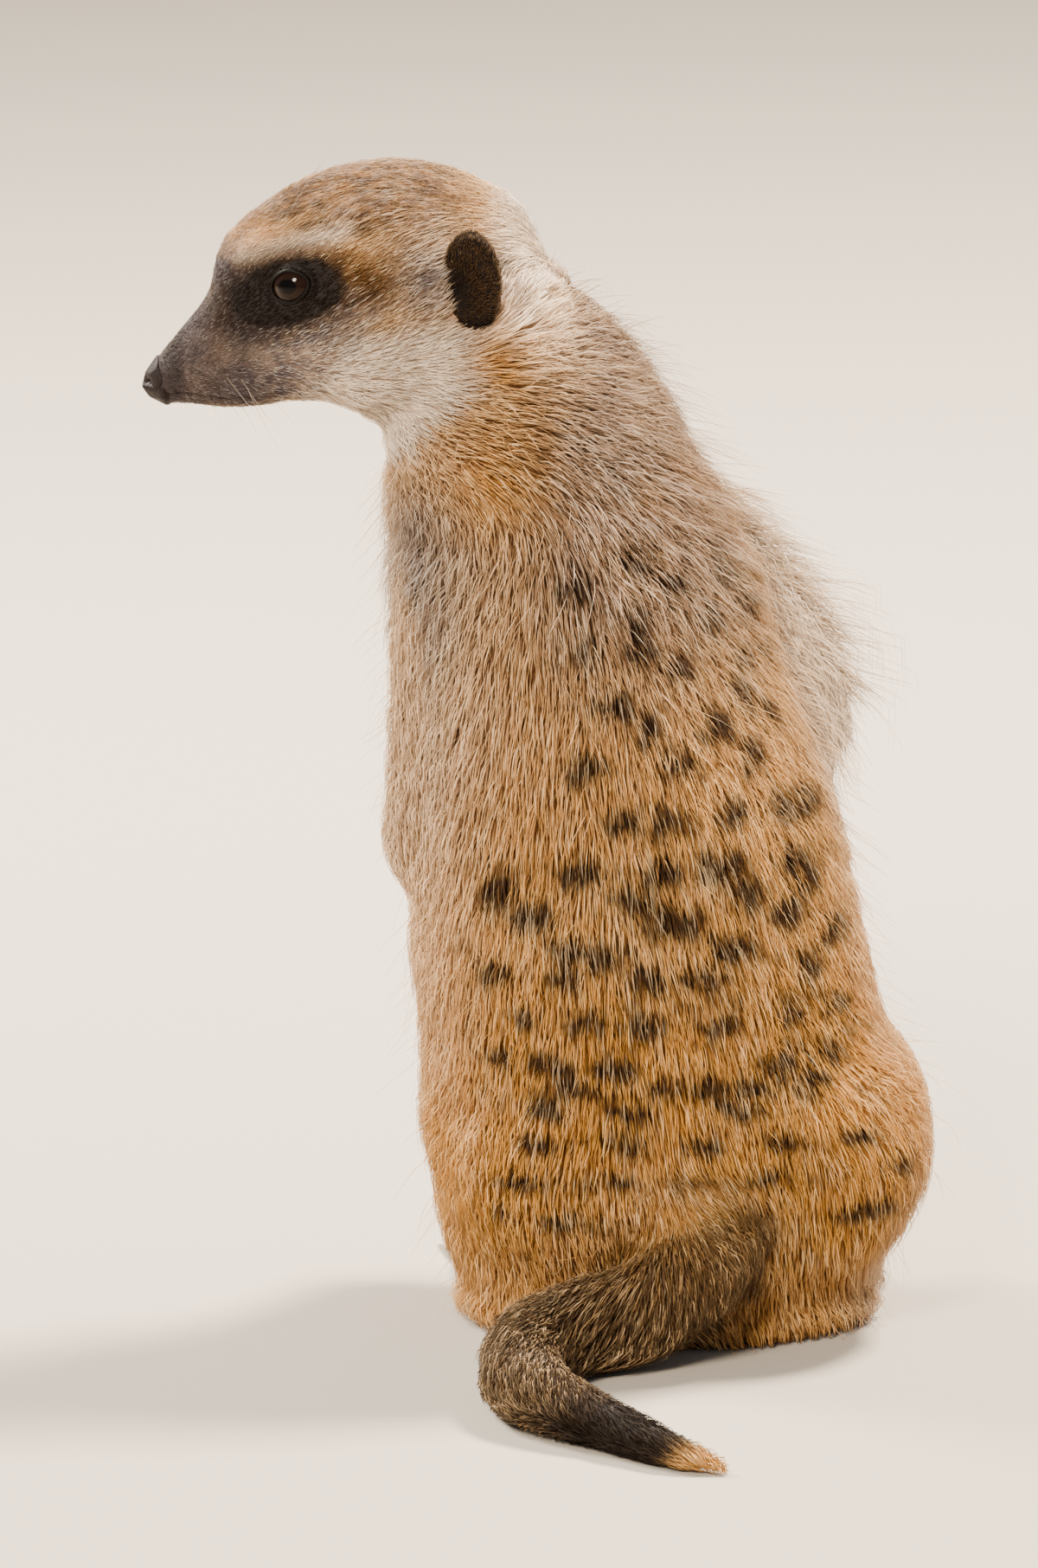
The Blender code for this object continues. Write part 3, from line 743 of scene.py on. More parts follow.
def sculpted(net, head_share):
    """Moves the head's skin: the mouth's line, the pads that carry the whiskers, the lips and the nape."""
    forward, aside, rise = Head.read(net.points)
    from_mouth = groove(forward, rise, MOUTH)
    push = 0.5 * bell((forward, 44, 6), (rise, -22, 3.5))
    push -= 0.55 * bell((from_mouth, 0, 0.55)) * (forward > 20)
    push += 0.18 * bell((from_mouth, 1.2, 0.7)) * (forward > 22)
    push *= ramp(0.6, 2.5, np.abs(aside)) * head_share
    # The nape runs on from the back of the head without a notch.
    push += 1.5 * bell((forward, -26.5, 4.5), (rise, 5, 5), (aside, 0, 14))
    return net.points + net.normals * (push * MM)[:, None]


EAR_HALF = (6.5, 10.5)  # mm from an ear's middle to its rim, forward and up
# Lines on an ear, by their corners' places forward and up from its middle.
EAR_FOLD = ((4.6, 5.0), (1.0, 5.2), (-2.6, 1.6), (-2.4, -3.5), (1.0, -7.2))
EAR_SLIT = ((6.2, 2.2), (2.6, 0.8), (0.4, -0.6))

EYE_RADIUS = 5.7  # mm, the eyeball's
IRIS_EDGE, PUPIL_WIDE, PUPIL_TALL = radians(44), radians(21), radians(15)  # seen from the eyeball's middle
EYE_FORWARD, EYE_UP = radians(24), radians(4)  # how far its middle looks forward and up
LID_SLOPE = radians(-14)  # the corners' line falls towards the nose
# The lids' rim from inside outwards: degrees past the opening, and millimetres above the ball.
LID_PROFILE = (
    (6, -0.3),
    (2.5, 0.02),
    (0.4, 0.1),
    (-0.8, 0.22),
    (-0.9, 0.36),
    (0.2, 0.5),
    (2.5, 0.56),
    (6, 0.5),
    (10, 0.3),
    (15, -0.1),
    (22, -0.7),
)


def eye_axes(side):
    """The way that an eye looks, then the way along its opening towards the nose, and across it."""
    level = Head.aside * SIDES[side] * cos(EYE_FORWARD) + Head.forward * sin(EYE_FORWARD)
    axis = unit(level * cos(EYE_UP) + UP * sin(EYE_UP))
    upright = unit(UP - axis * (axis @ UP))
    level = np.cross(upright, axis)
    level = level * np.sign(level @ Head.forward)
    long_way = level * cos(LID_SLOPE) + upright * sin(LID_SLOPE)
    return axis, long_way, -level * sin(LID_SLOPE) + upright * cos(LID_SLOPE)


def lid_opening(turn):
    """How many degrees the lids are open at each turn round the eye: an almond, longest towards the nose."""
    wide = np.where(np.cos(turn) > 0, 48.0, 44.0)
    tall = np.where(np.sin(turn) > 0, 30.0, 32.0)
    power = 1.75
    return ((np.abs(np.cos(turn)) / wide) ** power + (np.abs(np.sin(turn)) / tall) ** power) ** (-1 / power)


def past_lids(points, side):
    """Degrees outside the lids' opening, and millimetres from the eye's middle."""
    axis, long_way, high_way = eye_axes(side)
    off = (points - centre(f"eye_{side}")) / MM
    from_eye = np.linalg.norm(off, axis=1)
    tilt = np.degrees(np.arccos(np.clip(off @ axis / np.maximum(from_eye, 1e-9), -1, 1)))
    return tilt - lid_opening(np.arctan2(off @ high_way, off @ long_way)), from_eye


def socketed(points, side):
    """Lays the skin round an eye: under the ball inside the lids' opening, and closely over it outside."""
    past, from_eye = past_lids(points, side)
    wanted = EYE_RADIUS - 1.0 + 1.35 * ramp(0, 9, past)
    hold = ramp(48, 20, past) * ramp(EYE_RADIUS + 5, EYE_RADIUS + 3, from_eye)
    middle = centre(f"eye_{side}")
    return middle + (points - middle) * (1 + hold * (wanted / np.maximum(from_eye, 1e-9) - 1))[:, None]


TOE_GROOVE = (1.9, 1.0, 9.0)  # mm: depth, half width, and how far back from the claws' roots it runs


def toed(net):
    """Presses grooves into each paw between its claws, so that the toes stand apart."""
    depth, half, back = TOE_GROOVE
    move = np.zeros(net.count)
    for limb, paw, side in LIMBS:
        roots = [centre(f"claw_{limb}_{side}_{i}") for i in range(1, 5)]
        for first, second in zip(roots, roots[1:]):
            middle = (first + second) / 2
            off = (net.points - middle) / MM
            along = off @ unit(middle - centre(f"{paw}_{side}"))
            near = bell((off @ unit(second - first), 0, half)) * ramp(-back, -back / 2, along) * (along < 6)
            move = np.maximum(move, near * (away(net.points, middle) < back * 1.5))
    return net.points - net.normals * (move * depth * MM)[:, None]


def build_skin(sizes):
    """The merged flesh, swollen over its thin cuts, remeshed, smoothed and drawn in by the coat's depth."""
    parts = [swollen(merged_copy(node), SWELL * MM) for node in (*FLESH, "eye_left", "eye_right")]
    made = remeshed(joined("skin", parts), sizes.skin_grid)
    places, owners = node_samples(spacing=2.2 * MM)
    names = np.array(FLESH)
    owner = owners[nearest_of(places, points_of(made.data))]
    thinned(made, is_on(names[owner], "head", "ear", "nose", "forepaw", "hind_foot"), sizes.skin_kept)

    mesh = made.data
    net = Net(mesh)
    owner = owners[nearest_of(places, net.points)]
    owner_names = names[owner]
    # The cuts' grooves go, and the small forms of the face and paws stay.
    face, paws = (
        net.smoothed(is_on(owner_names, *kinds).astype(float), passes=6)
        for kinds in (("head", "nose"), ("forepaw", "hind_foot"))
    )
    kept = np.maximum(face, paws)[:, None]
    even, nearly = net.smoothed(net.points, passes=10), net.smoothed(net.points, passes=3)
    net = moved(mesh, even * (1 - kept) + nearly * kept)
    rows = np.array([GROWTH[kind_of(node)] for node in FLESH])
    shares = {kind: net.smoothed(is_on(owner_names, kind).astype(float), passes=5) for kind in SHARED}
    growth = fitted_growth(net, net.smoothed(rows[owner], passes=14), shares)
    # The skin stays under the nose's pad and the ears' shells.
    by_nose = ramp(5.6, 4.2, away(net.points, centre("nose")))
    growth[:, DEPTH] += 1.3 * by_nose + 1.2 * ramp(0.5, 0.9, shares["ear"])
    net = moved(mesh, net.points - net.normals * ((growth[:, DEPTH] + SWELL) * MM)[:, None])
    net = moved(mesh, net.smoothed(net.points, passes=1))
    net = moved(mesh, sculpted(net, shares["head"]))
    for side in SIDES:
        net = moved(mesh, socketed(net.points, side))
    net = moved(mesh, toed(net))
    net = moved(mesh, np.maximum(net.points, (-np.inf, -np.inf, SKIN_OFF_FLOOR * MM)))

    find_axis(net, owner_names)
    BUILT.update(net=net, owner=owner_names, growth=growth, shares=shares)
    comb(net)
    marks, more = markings(net.points, shares, BUILT["tail_along"])
    # The skin takes a darker lightness and a hair root's look, as painted shade between the tufts.
    more[:, 2:] = SKIN_PAINTED_SHADE
    give(mesh, "marks", "FLOAT_COLOR", marks)
    give(mesh, "more_marks", "FLOAT_COLOR", more)
    smooth_shaded(mesh)
    return made


def fitted_growth(net, growth, shares):
    """The coat's growth where it isn't its node's own: it is shortest at the nose and round the eyes."""
    forward, aside, rise = Head.read(net.points)
    height = net.points[:, 2] / MM
    head, neck, trunk = shares["head"], shares["neck"], shares["trunk"]
    growth = growth.copy()

    def change(share, **parts):
        """Where share is 1, makes each measure larger by this part of itself."""
        for measure, part in parts.items():
            growth[:, MEASURES.index(measure)] *= 1 + part * share

    # What rests on the floor is hardly drawn in.
    change(ramp(9, 4, height) * ramp(-0.1, -0.7, net.normals[:, 2]), depth=-0.85)
    muzzle = ramp(14, 44, forward) * (head + shares["nose"] + shares["ear"])
    change(muzzle, depth=-0.72, length=-0.62, width=-0.3, density=0.9)
    for side in SIDES:
        by_eye = bell((np.maximum(away(net.points, centre(f"eye_{side}")) - EYE_RADIUS, 0), 0, 5))
        growth[:, DEPTH] = growth[:, DEPTH] * (1 - by_eye) + 0.45 * by_eye
        change(by_eye, length=-0.5)
    # Hair is longer on the cheeks and nape, and before the ears, where it also stands up.
    change(ramp(-4, -18, rise) * ramp(30, 12, forward) * head, length=0.7)
    change(ramp(-8, -20, forward) * head, length=0.6)
    change(bell((forward, -3, 4), (rise, 0, 9)) * head, length=0.4, lift=0.9)
    # The right arm's long fringe stands off in the light.
    change(np.maximum(shares["upper_arm"] * (aside < -5), near_elbow(net.points)), length=1.1, lift=1.1)
    # The nape's top lies close, and the ruff below it stands up a little.
    hump = bell((forward, -34, 7), (rise, 1, 8))
    growth[:, DEPTH] += 1.4 * hump
    change(hump, length=-0.3, lift=-0.55)
    change(np.clip((neck + trunk) * ramp(145, 165, height), 0, 1) * ramp(-10, -30, forward), length=0.25)
    change(np.clip(neck + trunk * ramp(130, 170, height), 0, 1), lift=0.35)
    change(np.clip(shares["forepaw"] + shares["hind_foot"], 0, 1), width=0.35, length=0.35)
    change(trunk * ramp(130, 60, height), length=-0.22)
    # The belly's hair is thinner.
    change(trunk * ramp(8, -22, net.points[:, 1] / MM + 0.12 * height + 20), density=-0.45)
    return growth


def near_elbow(points):
    """Nearness to the right arm's elbow, where the fringe is longest."""
    low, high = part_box("upper_arm_right")
    return bell((away(points, np.array((low.x, (low.y + high.y) / 2, low.z + 4 * MM))), 0, 13))


def comb(net):
    """The lie of the coat: away from the nose along the skin, eased towards each named combing."""
    shares = BUILT["shares"]
    from_nose = net.distance_from(centre("nose"))
    flow = net.flattened(net.uphill(net.smoothed(from_nose, passes=12)))
    for place, way, reach, strength in combings():
        near = bell((away(net.points, place), 0, reach)) * strength
        flow = unit(flow * (1 - near)[:, None] + net.flattened(np.tile(way, (net.count, 1))) * near[:, None])
    # Hair on the body hangs a little more than the shortest way from the nose would have it.
    hang = shares["trunk"] * (0.4 + 2.8 * ramp(185, 135, net.points[:, 2] / MM))
    flow = flow - UP * hang[:, None]
    for _ in range(40):
        flow = net.flattened(flow + net.mean(flow))
    BUILT["flow"] = flow
    on_tail = from_nose[shares["tail"] > 0.5]
    start = np.quantile(on_tail, 0.01)
    BUILT["tail_length"] = on_tail.max() - start
    BUILT["tail_along"] = (from_nose - start) / BUILT["tail_length"]


def combings():
    """Where hair turns from the plain way: a place, the way that it lies there, its reach in millimetres and
    its strength."""
    rows = []
    for side, sign in SIDES.items():
        low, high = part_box(f"thigh_{side}")
        hip = np.array(((low.x + high.x) / 2, high.y * 0.6, high.z))
        knee = np.array(((low.x + high.x) / 2, low.y, (low.z + high.z) / 2))
        middle = np.array(((low.x if sign < 0 else high.x), (low.y + high.y) / 2, (low.z + high.z) / 2))
        rows.append((middle, unit(knee - hip), 30, 0.75))
    # The neck's side sweeps back and round to the nape, and meets the shoulder's hair in a whorl.
    rows.append((Head.place(-14, 20, -40), unit(-Head.forward + UP * -0.15), 17, 0.85))
    return rows


class Places:
    """Where points on the skin are: how much each node has of them, their measures on the head and round the
    back, and the areas that more than one marking uses."""

    def __init__(self, points, shares, tail_along):
        self.points, self.shares, self.tail_along = points, shares, tail_along
        self.neck, self.trunk, self.tail = shares["neck"], shares["trunk"], shares["tail"]
        self.head = np.clip(shares["head"] + shares["nose"], 0, 1)
        self.torso = np.clip(shares["neck"] + shares["trunk"], 0, 1)
        self.arms = np.clip(shares["upper_arm"] + shares["forearm"], 0, 1)
        self.paws = np.clip(shares["forepaw"] + shares["hind_foot"], 0, 1)
        self.body = np.clip(shares["trunk"] + shares["thigh"] + shares["shank"] + self.arms, 0, 1)
        forward, self.aside, rise = Head.read(points)
        self.forward, self.rise, self.side = forward, rise, np.abs(self.aside)
        angle, height = spine_angle(points)
        self.angle, self.height, self.off = angle, height, np.abs(angle)
        self.mottle = cloud(points / MM, size=6.0, seed=3)
        self.broken = cloud(points / MM, size=2.2, seed=4)

        self.crown = ramp(9, 15, rise) * ramp(-16, -2, forward)
        self.behind_eye = bell((forward, 10, 8), (rise, -0.5, 6))
        self.before_ear = bell((forward, -4, 8), (rise, 1, 9))
        self.below_ear = bell((forward, -19, 6.5), (rise, -15, 7.5))
        self.muzzle = ramp(22, 36, forward) * ramp(-31, -28, rise) * ramp(7, 0, rise)
        # The cheek's cream starts behind a line, and the jowl is before it.
        self.before_cheek = forward - 19 + 0.75 * (rise + 25)
        self.jowl = ramp(-3, 4, self.before_cheek) * ramp(-30, -26, rise) * ramp(2, -6, rise)
        # The eye patch is an oval that slopes down towards the nose, longer that way, with the brow over it.
        ahead, above = forward - PATCH_AT[0], rise - PATCH_AT[1]
        patch_long = ahead * PATCH_SLOPE[0] - above * PATCH_SLOPE[1]
        patch_high = ahead * PATCH_SLOPE[1] + above * PATCH_SLOPE[0]
        reach = np.where(patch_long > 0, 14.6, 12.4)
        self.past_patch = (patch_long / reach) ** 2 + (patch_high / 6.9) ** 2 + 0.3 * (self.broken - 0.5)
        self.brow = bell((patch_high, 9.0, 2.2)) * ramp(8, 15, forward) * ramp(42, 34, forward)
        # The right side is the one that the light strikes, and there cream is painted on as a painted highlight
        # and the grey is taken away.
        right_side = self.body * ramp(-48, -78, angle) * ramp(90, 115, height) * ramp(-170, -140, angle)
        self.painted_light_side = highest(shares["upper_arm"] * (angle < 0), right_side, near_elbow(points))


def rust_mask(at):
    """Crown, forehead, behind the eye, below the ear, neck's sides, haunches, back and the tail's ends."""
    forehead = ramp(24, 32, at.forward) * ramp(5, 9, at.rise)
    neck_side = bell((at.forward, -22, 15), (at.rise, -40, 14)) * ramp(-4, 8, at.aside)
    haunch = ramp(120, 60, at.height) * ramp(125, 80, at.off) * (0.7 + 0.3 * ramp(5, 35, at.height))
    mask = highest(
        at.head * np.clip(0.62 * np.maximum(at.crown, forehead) + 0.9 * at.behind_eye, 0, 1),
        np.clip(at.head + at.neck, 0, 1) * np.minimum(1, 1.3 * at.below_ear),
        at.torso * neck_side * 0.9,
        (at.trunk + at.shares["thigh"]) * 0.95 * haunch,
        0.45 * at.shares["upper_arm"],
        0.3 * at.paws,
        at.trunk * ramp(90, 50, at.off) * (0.3 + 0.42 * ramp(155, 95, at.height)),
    )
    tail_ends = np.maximum(ramp(0.92, 0.97, at.tail_along), ramp(0.3, 0.05, at.tail_along))
    return np.maximum(mask * (0.8 + 0.4 * at.mottle), at.tail * tail_ends * 0.8)


def cream_mask(at):
    """Cheeks, brow, the head's back, throat, belly and flanks, and a painted highlight on the lit side."""
    forward, rise, height, off = at.forward, at.rise, at.height, at.off
    cheek = ramp(-8, -14, rise + 0.12 * (forward - 10)) * ramp(4, -3, at.before_cheek + 5 * (at.mottle - 0.5))
    nape = ramp(-13, -20, forward) * ramp(-14, -4, rise)
    face = cheek + 0.85 * at.brow * ramp(3, 8, at.side) + 0.9 * nape + 0.6 * at.before_ear
    throat = ramp(-22, -2, forward) * ramp(-20, -34, rise) * ramp(140, 175, height)
    behind = ramp(-16, -26, forward) * ramp(-26, -8, rise) * ramp(30, 70, off)
    mask = highest(
        at.head * np.clip(face + 0.55 * at.jowl * ramp(42, 34, forward), 0, 1),
        at.torso * throat * 0.12,
        at.neck * behind * 0.6,
        at.body * 0.85 * ramp(100, 140, off),
        at.body * 0.28 * ramp(45, 85, off) * ramp(30, 70, height),
        # Cream where the light strikes the right side is a painted highlight.
        at.arms * 0.1 + at.painted_light_side * 0.7,
        at.body * 0.5 * ramp(-45, -75, at.angle) * ramp(60, 25, height),
    )
    return mask * (1 - 0.9 * at.head * np.clip(1.3 * at.behind_eye, 0, 1)) * (1 - 0.95 * at.below_ear)


def grey_mask(at):
    """Muzzle, jowl, before the ear, crown, nape, shoulders, the throat's side and paws."""
    forward, rise, height, off = at.forward, at.rise, at.height, at.off
    low_jaw = ramp(26, 40, forward) * ramp(-36, -31, rise) * 0.7
    face = highest(at.muzzle, low_jaw, 0.85 * at.jowl, 0.8 * at.before_ear)
    shoulders = ramp(118, 165, height) * ramp(75, 30, off)
    nape = ramp(-22, -30, forward) * ramp(60, 25, off) * ramp(118, 160, height)
    throat_side = bell((forward, -2, 10)) * ramp(-38, -50, rise) * ramp(120, 150, height)
    mask = highest(
        at.head * np.clip(face + 0.55 * at.crown, 0, 1) * (1 - 0.6 * at.brow * (forward < 38)),
        at.torso * highest(0.55 * shoulders, 0.5 * nape, 0.6 * throat_side),
        at.body * 0.15 * ramp(80, 120, height) * ramp(30, 60, off),
        at.paws * 0.5,
    )
    grizzled = ramp(0.4, 0.65, cloud(at.points / MM, size=1.3, seed=11)) * (1 - at.muzzle)
    # Where the light strikes the right side, less grey is left under the painted highlight.
    return mask * (0.7 + 0.6 * at.mottle) * (1 - 0.5 * at.head * grizzled) * (1 - 0.8 * at.painted_light_side)


def spots_mask(at):
    """The back's rows of spots, broken at their edges, with fainter dashes between them low down."""
    around = radians(1) * BACK_RADIUS
    turned, lifted, waved = (
        cloud(at.points / MM, size, seed) - 0.5 for size, seed in ((3.6, 6), (3.0, 7), (25.0, 5))
    )
    angle = at.angle + 11 * turned
    height = at.height + (2.2 + 2.4 * ramp(50, 110, at.height)) * lifted
    spots = np.zeros(len(at.points))
    for row, turns in SPOT_ROWS:
        wide = np.interp(row, (40, 95, 140), (4.2, 4.7, 3.3))
        tall = np.interp(row, (40, 70, 95, 140), (1.9, 2.2, 3.3, 2.8))
        for turn in turns:
            near = ((angle - turn) * around / wide) ** 2 + ((height - row) / tall) ** 2
            spots = np.maximum(spots, ramp(1.9, 0.6, near))
    rows = 0.5 + 0.5 * np.cos(2 * pi * (at.height + 3 * waved) / ROW_PITCH)
    dashes = ramp(0.53, 0.62, cloud(at.points * (1, 1, 2.6) / MM, size=5.5, seed=9))
    faint = rows**3 * ramp(75, 50, at.off) * ramp(130, 80, at.height) * ramp(12, 24, at.height) * dashes
    return np.maximum(spots * ramp(0.0, 0.35, at.broken), faint * 0.8) * at.trunk * ramp(80, 60, at.off)


def band_mask(at):
    """Dark brown: the back's spots, the temple's streak, the crown's sides and round the eye patch."""
    forward, rise, side = at.forward, at.rise, at.side
    temple = bell((groove(forward, rise, TEMPLE), 0, 2.6)) * ramp(4, 9, side) * ramp(-9, -3, forward)
    streak = ramp(0.45, 0.62, cloud(np.stack((forward * 0.3, at.aside, rise), axis=1), size=1.5, seed=10))
    crown_side = ramp(7, 11, rise) * ramp(-16, -4, forward) * ramp(36, 26, forward)
    face = highest(
        temple * (0.2 + 0.5 * streak),
        crown_side * (0.12 + 0.5 * streak),
        np.minimum(1, 1.3 * at.behind_eye) * 0.83,
        ramp(2.9, 1.0, at.past_patch) * ramp(3.5, 7.0, side) * 0.84,
    )
    return np.maximum(spots_mask(at), at.head * face)


def dark_mask(at):
    """Nearly black: eye patches, the muzzle's end and lips, ears and the tail's last third."""
    forward, rise = at.forward, at.rise
    face = highest(
        ramp(1.3, 0.75, at.past_patch) * ramp(3.5, 7.0, at.side),
        0.8 * ramp(42, 50, forward) * ramp(-30, -27, rise),
        0.52 * at.muzzle,
        0.5 * bell((groove(forward, rise, MOUTH), 0, 0.8)) * (forward > 26),
    )
    tail_end = ramp(0.68, 0.78, at.tail_along) * ramp(0.975, 0.93, at.tail_along)
    return highest(
        at.head * face, ramp(0.35, 0.75, at.shares["ear"]) * 0.96, ramp(0.2, 0.8, at.tail) * tail_end * 0.97
    )


def olive_mask(at):
    """Dark olive brown: most of the tail, the coat round its root, and a little on the paws."""
    on_tail = ramp(0.2, 0.9, at.tail) * ramp(0.98, 0.9, at.tail_along) * ramp(0.01, 0.11, at.tail_along)
    by_tail = bell((away(at.points, BUILT["tail_base"]), 0, 20))
    return highest(
        on_tail * (0.86 + 0.1 * ramp(0.1, 0.35, at.tail_along)), at.trunk * by_tail * 0.35, at.paws * 0.3
    )


def markings(points, shares, tail_along):
    """The coat's markings at points on the skin, as two colours of masks: rust, cream, grey and band, then
    dark and olive, with room for a tuft's own shade and how far along it a point is."""
    at = Places(points, shares, tail_along)
    none = np.zeros(len(points))
    marks = np.stack((rust_mask(at), cream_mask(at), grey_mask(at), band_mask(at)), axis=1)
    more = np.stack((dark_mask(at), olive_mask(at), none, none), axis=1)
    return np.clip(marks, 0, 1), np.clip(more, 0, 1)


# The coat.


class Pelt:
    """A surface with the lie of its hair, which a hair can follow off its root."""

    def __init__(self, net, flow, pitch):
        self.net, self.flow = net, flow
        self.flow_field = Field(net.points, flow, pitch, spread=8)
        self.normal_field = Field(net.points, net.normals, pitch, spread=8)


class Roots:
    """Places on a pelt that tufts grow from, and each tuft's measures in millimetres and degrees."""

    def __init__(self, pelt, density, growth, seed):
        self.pelt = pelt
        self.draw = np.random.default_rng(seed)
        self.at, self.weights = self.scattered(density)
        self.count = len(self.at)
        self.points = self.read(pelt.net.points)
        self.normals = unit(self.read(pelt.net.normals))
        flow = self.read(pelt.flow)
        self.flow = unit(flow - self.normals * np.sum(flow * self.normals, axis=1, keepdims=True))
        own = self.read(growth)
        self.length = own[:, LENGTH] * self.draw.uniform(0.7, 1.2, self.count)
        self.width = own[:, WIDTH] * self.draw.uniform(0.7, 1.25, self.count)
        self.lift = own[:, LIFT] * self.draw.uniform(0.6, 1.5, self.count)

    def scattered(self, density):
        """Roots by density, in tufts to a square millimetre: the triangle of each and its place there."""
        net, draw = self.pelt.net, self.draw
        corners = net.points[net.triangles]
        wanted = areas_of(corners) / MM**2 * density[net.triangles].mean(axis=1)
        # Triangles near each other follow each other, so that even steps along the sum are even on the skin.
        middle = corners.sum(axis=1) / 3
        cell = np.floor((middle - middle.min(0)) / (4 * MM)).astype(int)
        order = np.lexsort((middle[:, 0], cell[:, 0], cell[:, 1], cell[:, 2]))
        total = np.cumsum(wanted[order])
        count = int(total[-1])
        steps = (np.arange(count) + draw.random(count)) * (total[-1] / count)
        at = order[np.minimum(np.searchsorted(total, steps), len(order) - 1)]
        return at, drawn_places(draw, count)

    def read(self, values):
        """The pelt's values at the roots."""
        corners = values[self.pelt.net.triangles[self.at]]
        if values.ndim == 1:
            return np.sum(corners * self.weights, axis=1)
        return np.sum(corners * self.weights[:, :, None], axis=1)

    def grown(self, steps, drift):
        """Each hair's centre line, which rises from its root and lies down along the coat towards its tip."""
        sunk = np.minimum(0.5, 0.1 * self.length) * MM
        place = self.points - self.normals * sunk[:, None]
        lean = self.draw.normal(0, drift, self.count)
        lines = [place]
        paces = np.diff(ring_shares(steps + 1))
        laid = 1.2 * ramp(50, 32, self.lift)  # what stands off steeply stays straight
        weight = 0.6 * ramp(9, 16, self.length)  # and long hair hangs
        for step in range(steps):
            along, out = self.flow, self.normals
            if step:
                along, out = self.pelt.flow_field.at(place), unit(self.pelt.normal_field.at(place))
            along = unit(along - out * np.sum(along * out, axis=1, keepdims=True))
            across = np.cross(out, along)
            rise = np.radians(self.lift) * (1.3 - laid * step / max(1, steps - 1)) - radians(2)
            rise = np.minimum(rise, STEEPEST)
            way = along * np.cos(rise)[:, None] + out * np.sin(rise)[:, None] + across * lean[:, None]
            way[:, 2] -= weight * (0.5 + 0.5 * step / max(1, steps - 1))
            place = place + unit(way) * (self.length * MM * paces[step])[:, None]
            place[:, 2] = np.maximum(place[:, 2], HAIR_OFF_FLOOR * MM)
            lines.append(place)
        return np.stack(lines, axis=1)

    def clumped(self, lines, every, pull):
        """Draws the tips of neighbouring hairs together into locks."""
        chosen = np.sort(self.draw.choice(self.count, max(1, self.count // every), replace=False))
        guide = lines[chosen[nearest_of(lines[chosen, 0], lines[:, 0])]]
        share = ring_shares(lines.shape[1]) ** 1.4
        amount = share[None, :] * (pull * self.draw.uniform(0.3, 1.0, self.count))[:, None]
        apart = self.draw.normal(0, 1, (self.count, 1, 3)) * (self.width * MM)[:, None, None] * 0.7
        return lines + (guide + apart * share[None, :, None] - lines) * amount[..., None]


BACK_PIECES = ("coat_rump", "coat_loins", "coat_back", "coat_shoulders")


def region_of(names, points):
    """The piece of the coat that each root belongs to."""
    angle, height = spine_angle(points)
    _, aside, _ = Head.read(points)
    off = np.abs(angle)
    trunk, head = names == "trunk", is_on(names, "head", "nose", "ear")
    front, back = trunk & (off >= FRONT_FROM), trunk & (off <= BACK_TO)
    flank = trunk & ~front & ~back
    found = np.full(len(points), "coat_legs", dtype="<U24")
    for part, test in (
        ("coat_rump", back & (height < 55)),
        ("coat_loins", back & (height >= 55) & (height < 95)),
        ("coat_back", back & (height >= 95) & (height < 132)),
        ("coat_shoulders", back & (height >= 132)),
        ("coat_flank_left", flank & (angle > 0)),
        ("coat_flank_right", flank & (angle <= 0)),
        ("coat_belly", front & (height < 90)),
        ("coat_chest", front & (height >= 90)),
        ("coat_neck", names == "neck"),
        ("coat_face_left", head & (aside >= 0)),
        ("coat_face_right", head & (aside < 0)),
        ("coat_tail", is_on(names, "tail")),
        ("coat_arms", is_on(names, "upper_arm", "forearm")),
        ("coat_forepaws", is_on(names, "forepaw")),
        ("coat_feet", is_on(names, "hind_foot")),
        ("coat_thigh_left", names == "thigh_left"),
        ("coat_thigh_right", names == "thigh_right"),
    ):
        found[test] = part
    return found


def ring_shares(rings):
    """How far along a tuft each of its rings is: they stand closer on the half that shows."""
    return np.concatenate(((0.0,), np.linspace(0.5, 1.0, rings - 1)))


def tuft_mesh(name, lines, normals, width, marks, more, spots):
    """Three-sided tapering tufts along the lines, each closed, with its own patch of the OFBake map.
    The markings are given ring by ring."""
    count, rings = lines.shape[:2]
    ahead = np.gradient(lines, axis=1)
    side = unit(np.cross(ahead, normals[:, None, :]))
    out = unit(np.cross(side, ahead))
    share = ring_shares(rings)
    girth = (width * MM / 2)[:, None] * np.interp(share[:-1], (0, 0.4, 1), (0.7, 1.0, 0.25))[None, :]
    side, out = side[:, :-1] * girth[..., None], out[:, :-1] * girth[..., None] * 0.8
    body = lines[:, :-1]
    rows = np.stack((body - side, body + out, body + side), axis=2).reshape(count, (rings - 1) * 3, 3)
    points = np.concatenate((rows, lines[:, -1:]), axis=1)
    quads = strip_faces(rings - 1, 3)[:, (0, 3, 2, 1)]
    last = (rings - 2) * 3
    caps = np.array([(2, 1, 0)] + [(last + corner, last + (corner + 1) % 3, last + 3) for corner in range(3)])
    base = (np.arange(count) * points.shape[1])[:, None, None]
    groups = [(base + faces[None]).reshape(-1, faces.shape[1]) for faces in (quads, caps)]
    mesh = mesh_of(name, points.reshape(-1, 3), groups)
    ring_of = np.concatenate((np.repeat(np.arange(rings - 1), 3), (rings - 1,)))
    along = share[ring_of]
    more = more[:, ring_of]
    more[:, :, 3] = along
    give(mesh, "marks", "FLOAT_COLOR", marks[:, ring_of])
    give(mesh, "more_marks", "FLOAT_COLOR", more)
    # The tuft's patch stands at the root's place on the unwrap.
    over = np.concatenate((np.tile((-UV_HALF, 0.0, UV_HALF), rings - 1), (0.0,)))
    uv = spots[:, None, :] + np.stack((over, along * UV_LONG), axis=1)[None]
    order = np.concatenate([group.ravel() for group in groups])
    lay_out(mesh, uv.reshape(-1, 2)[order])
    return mesh


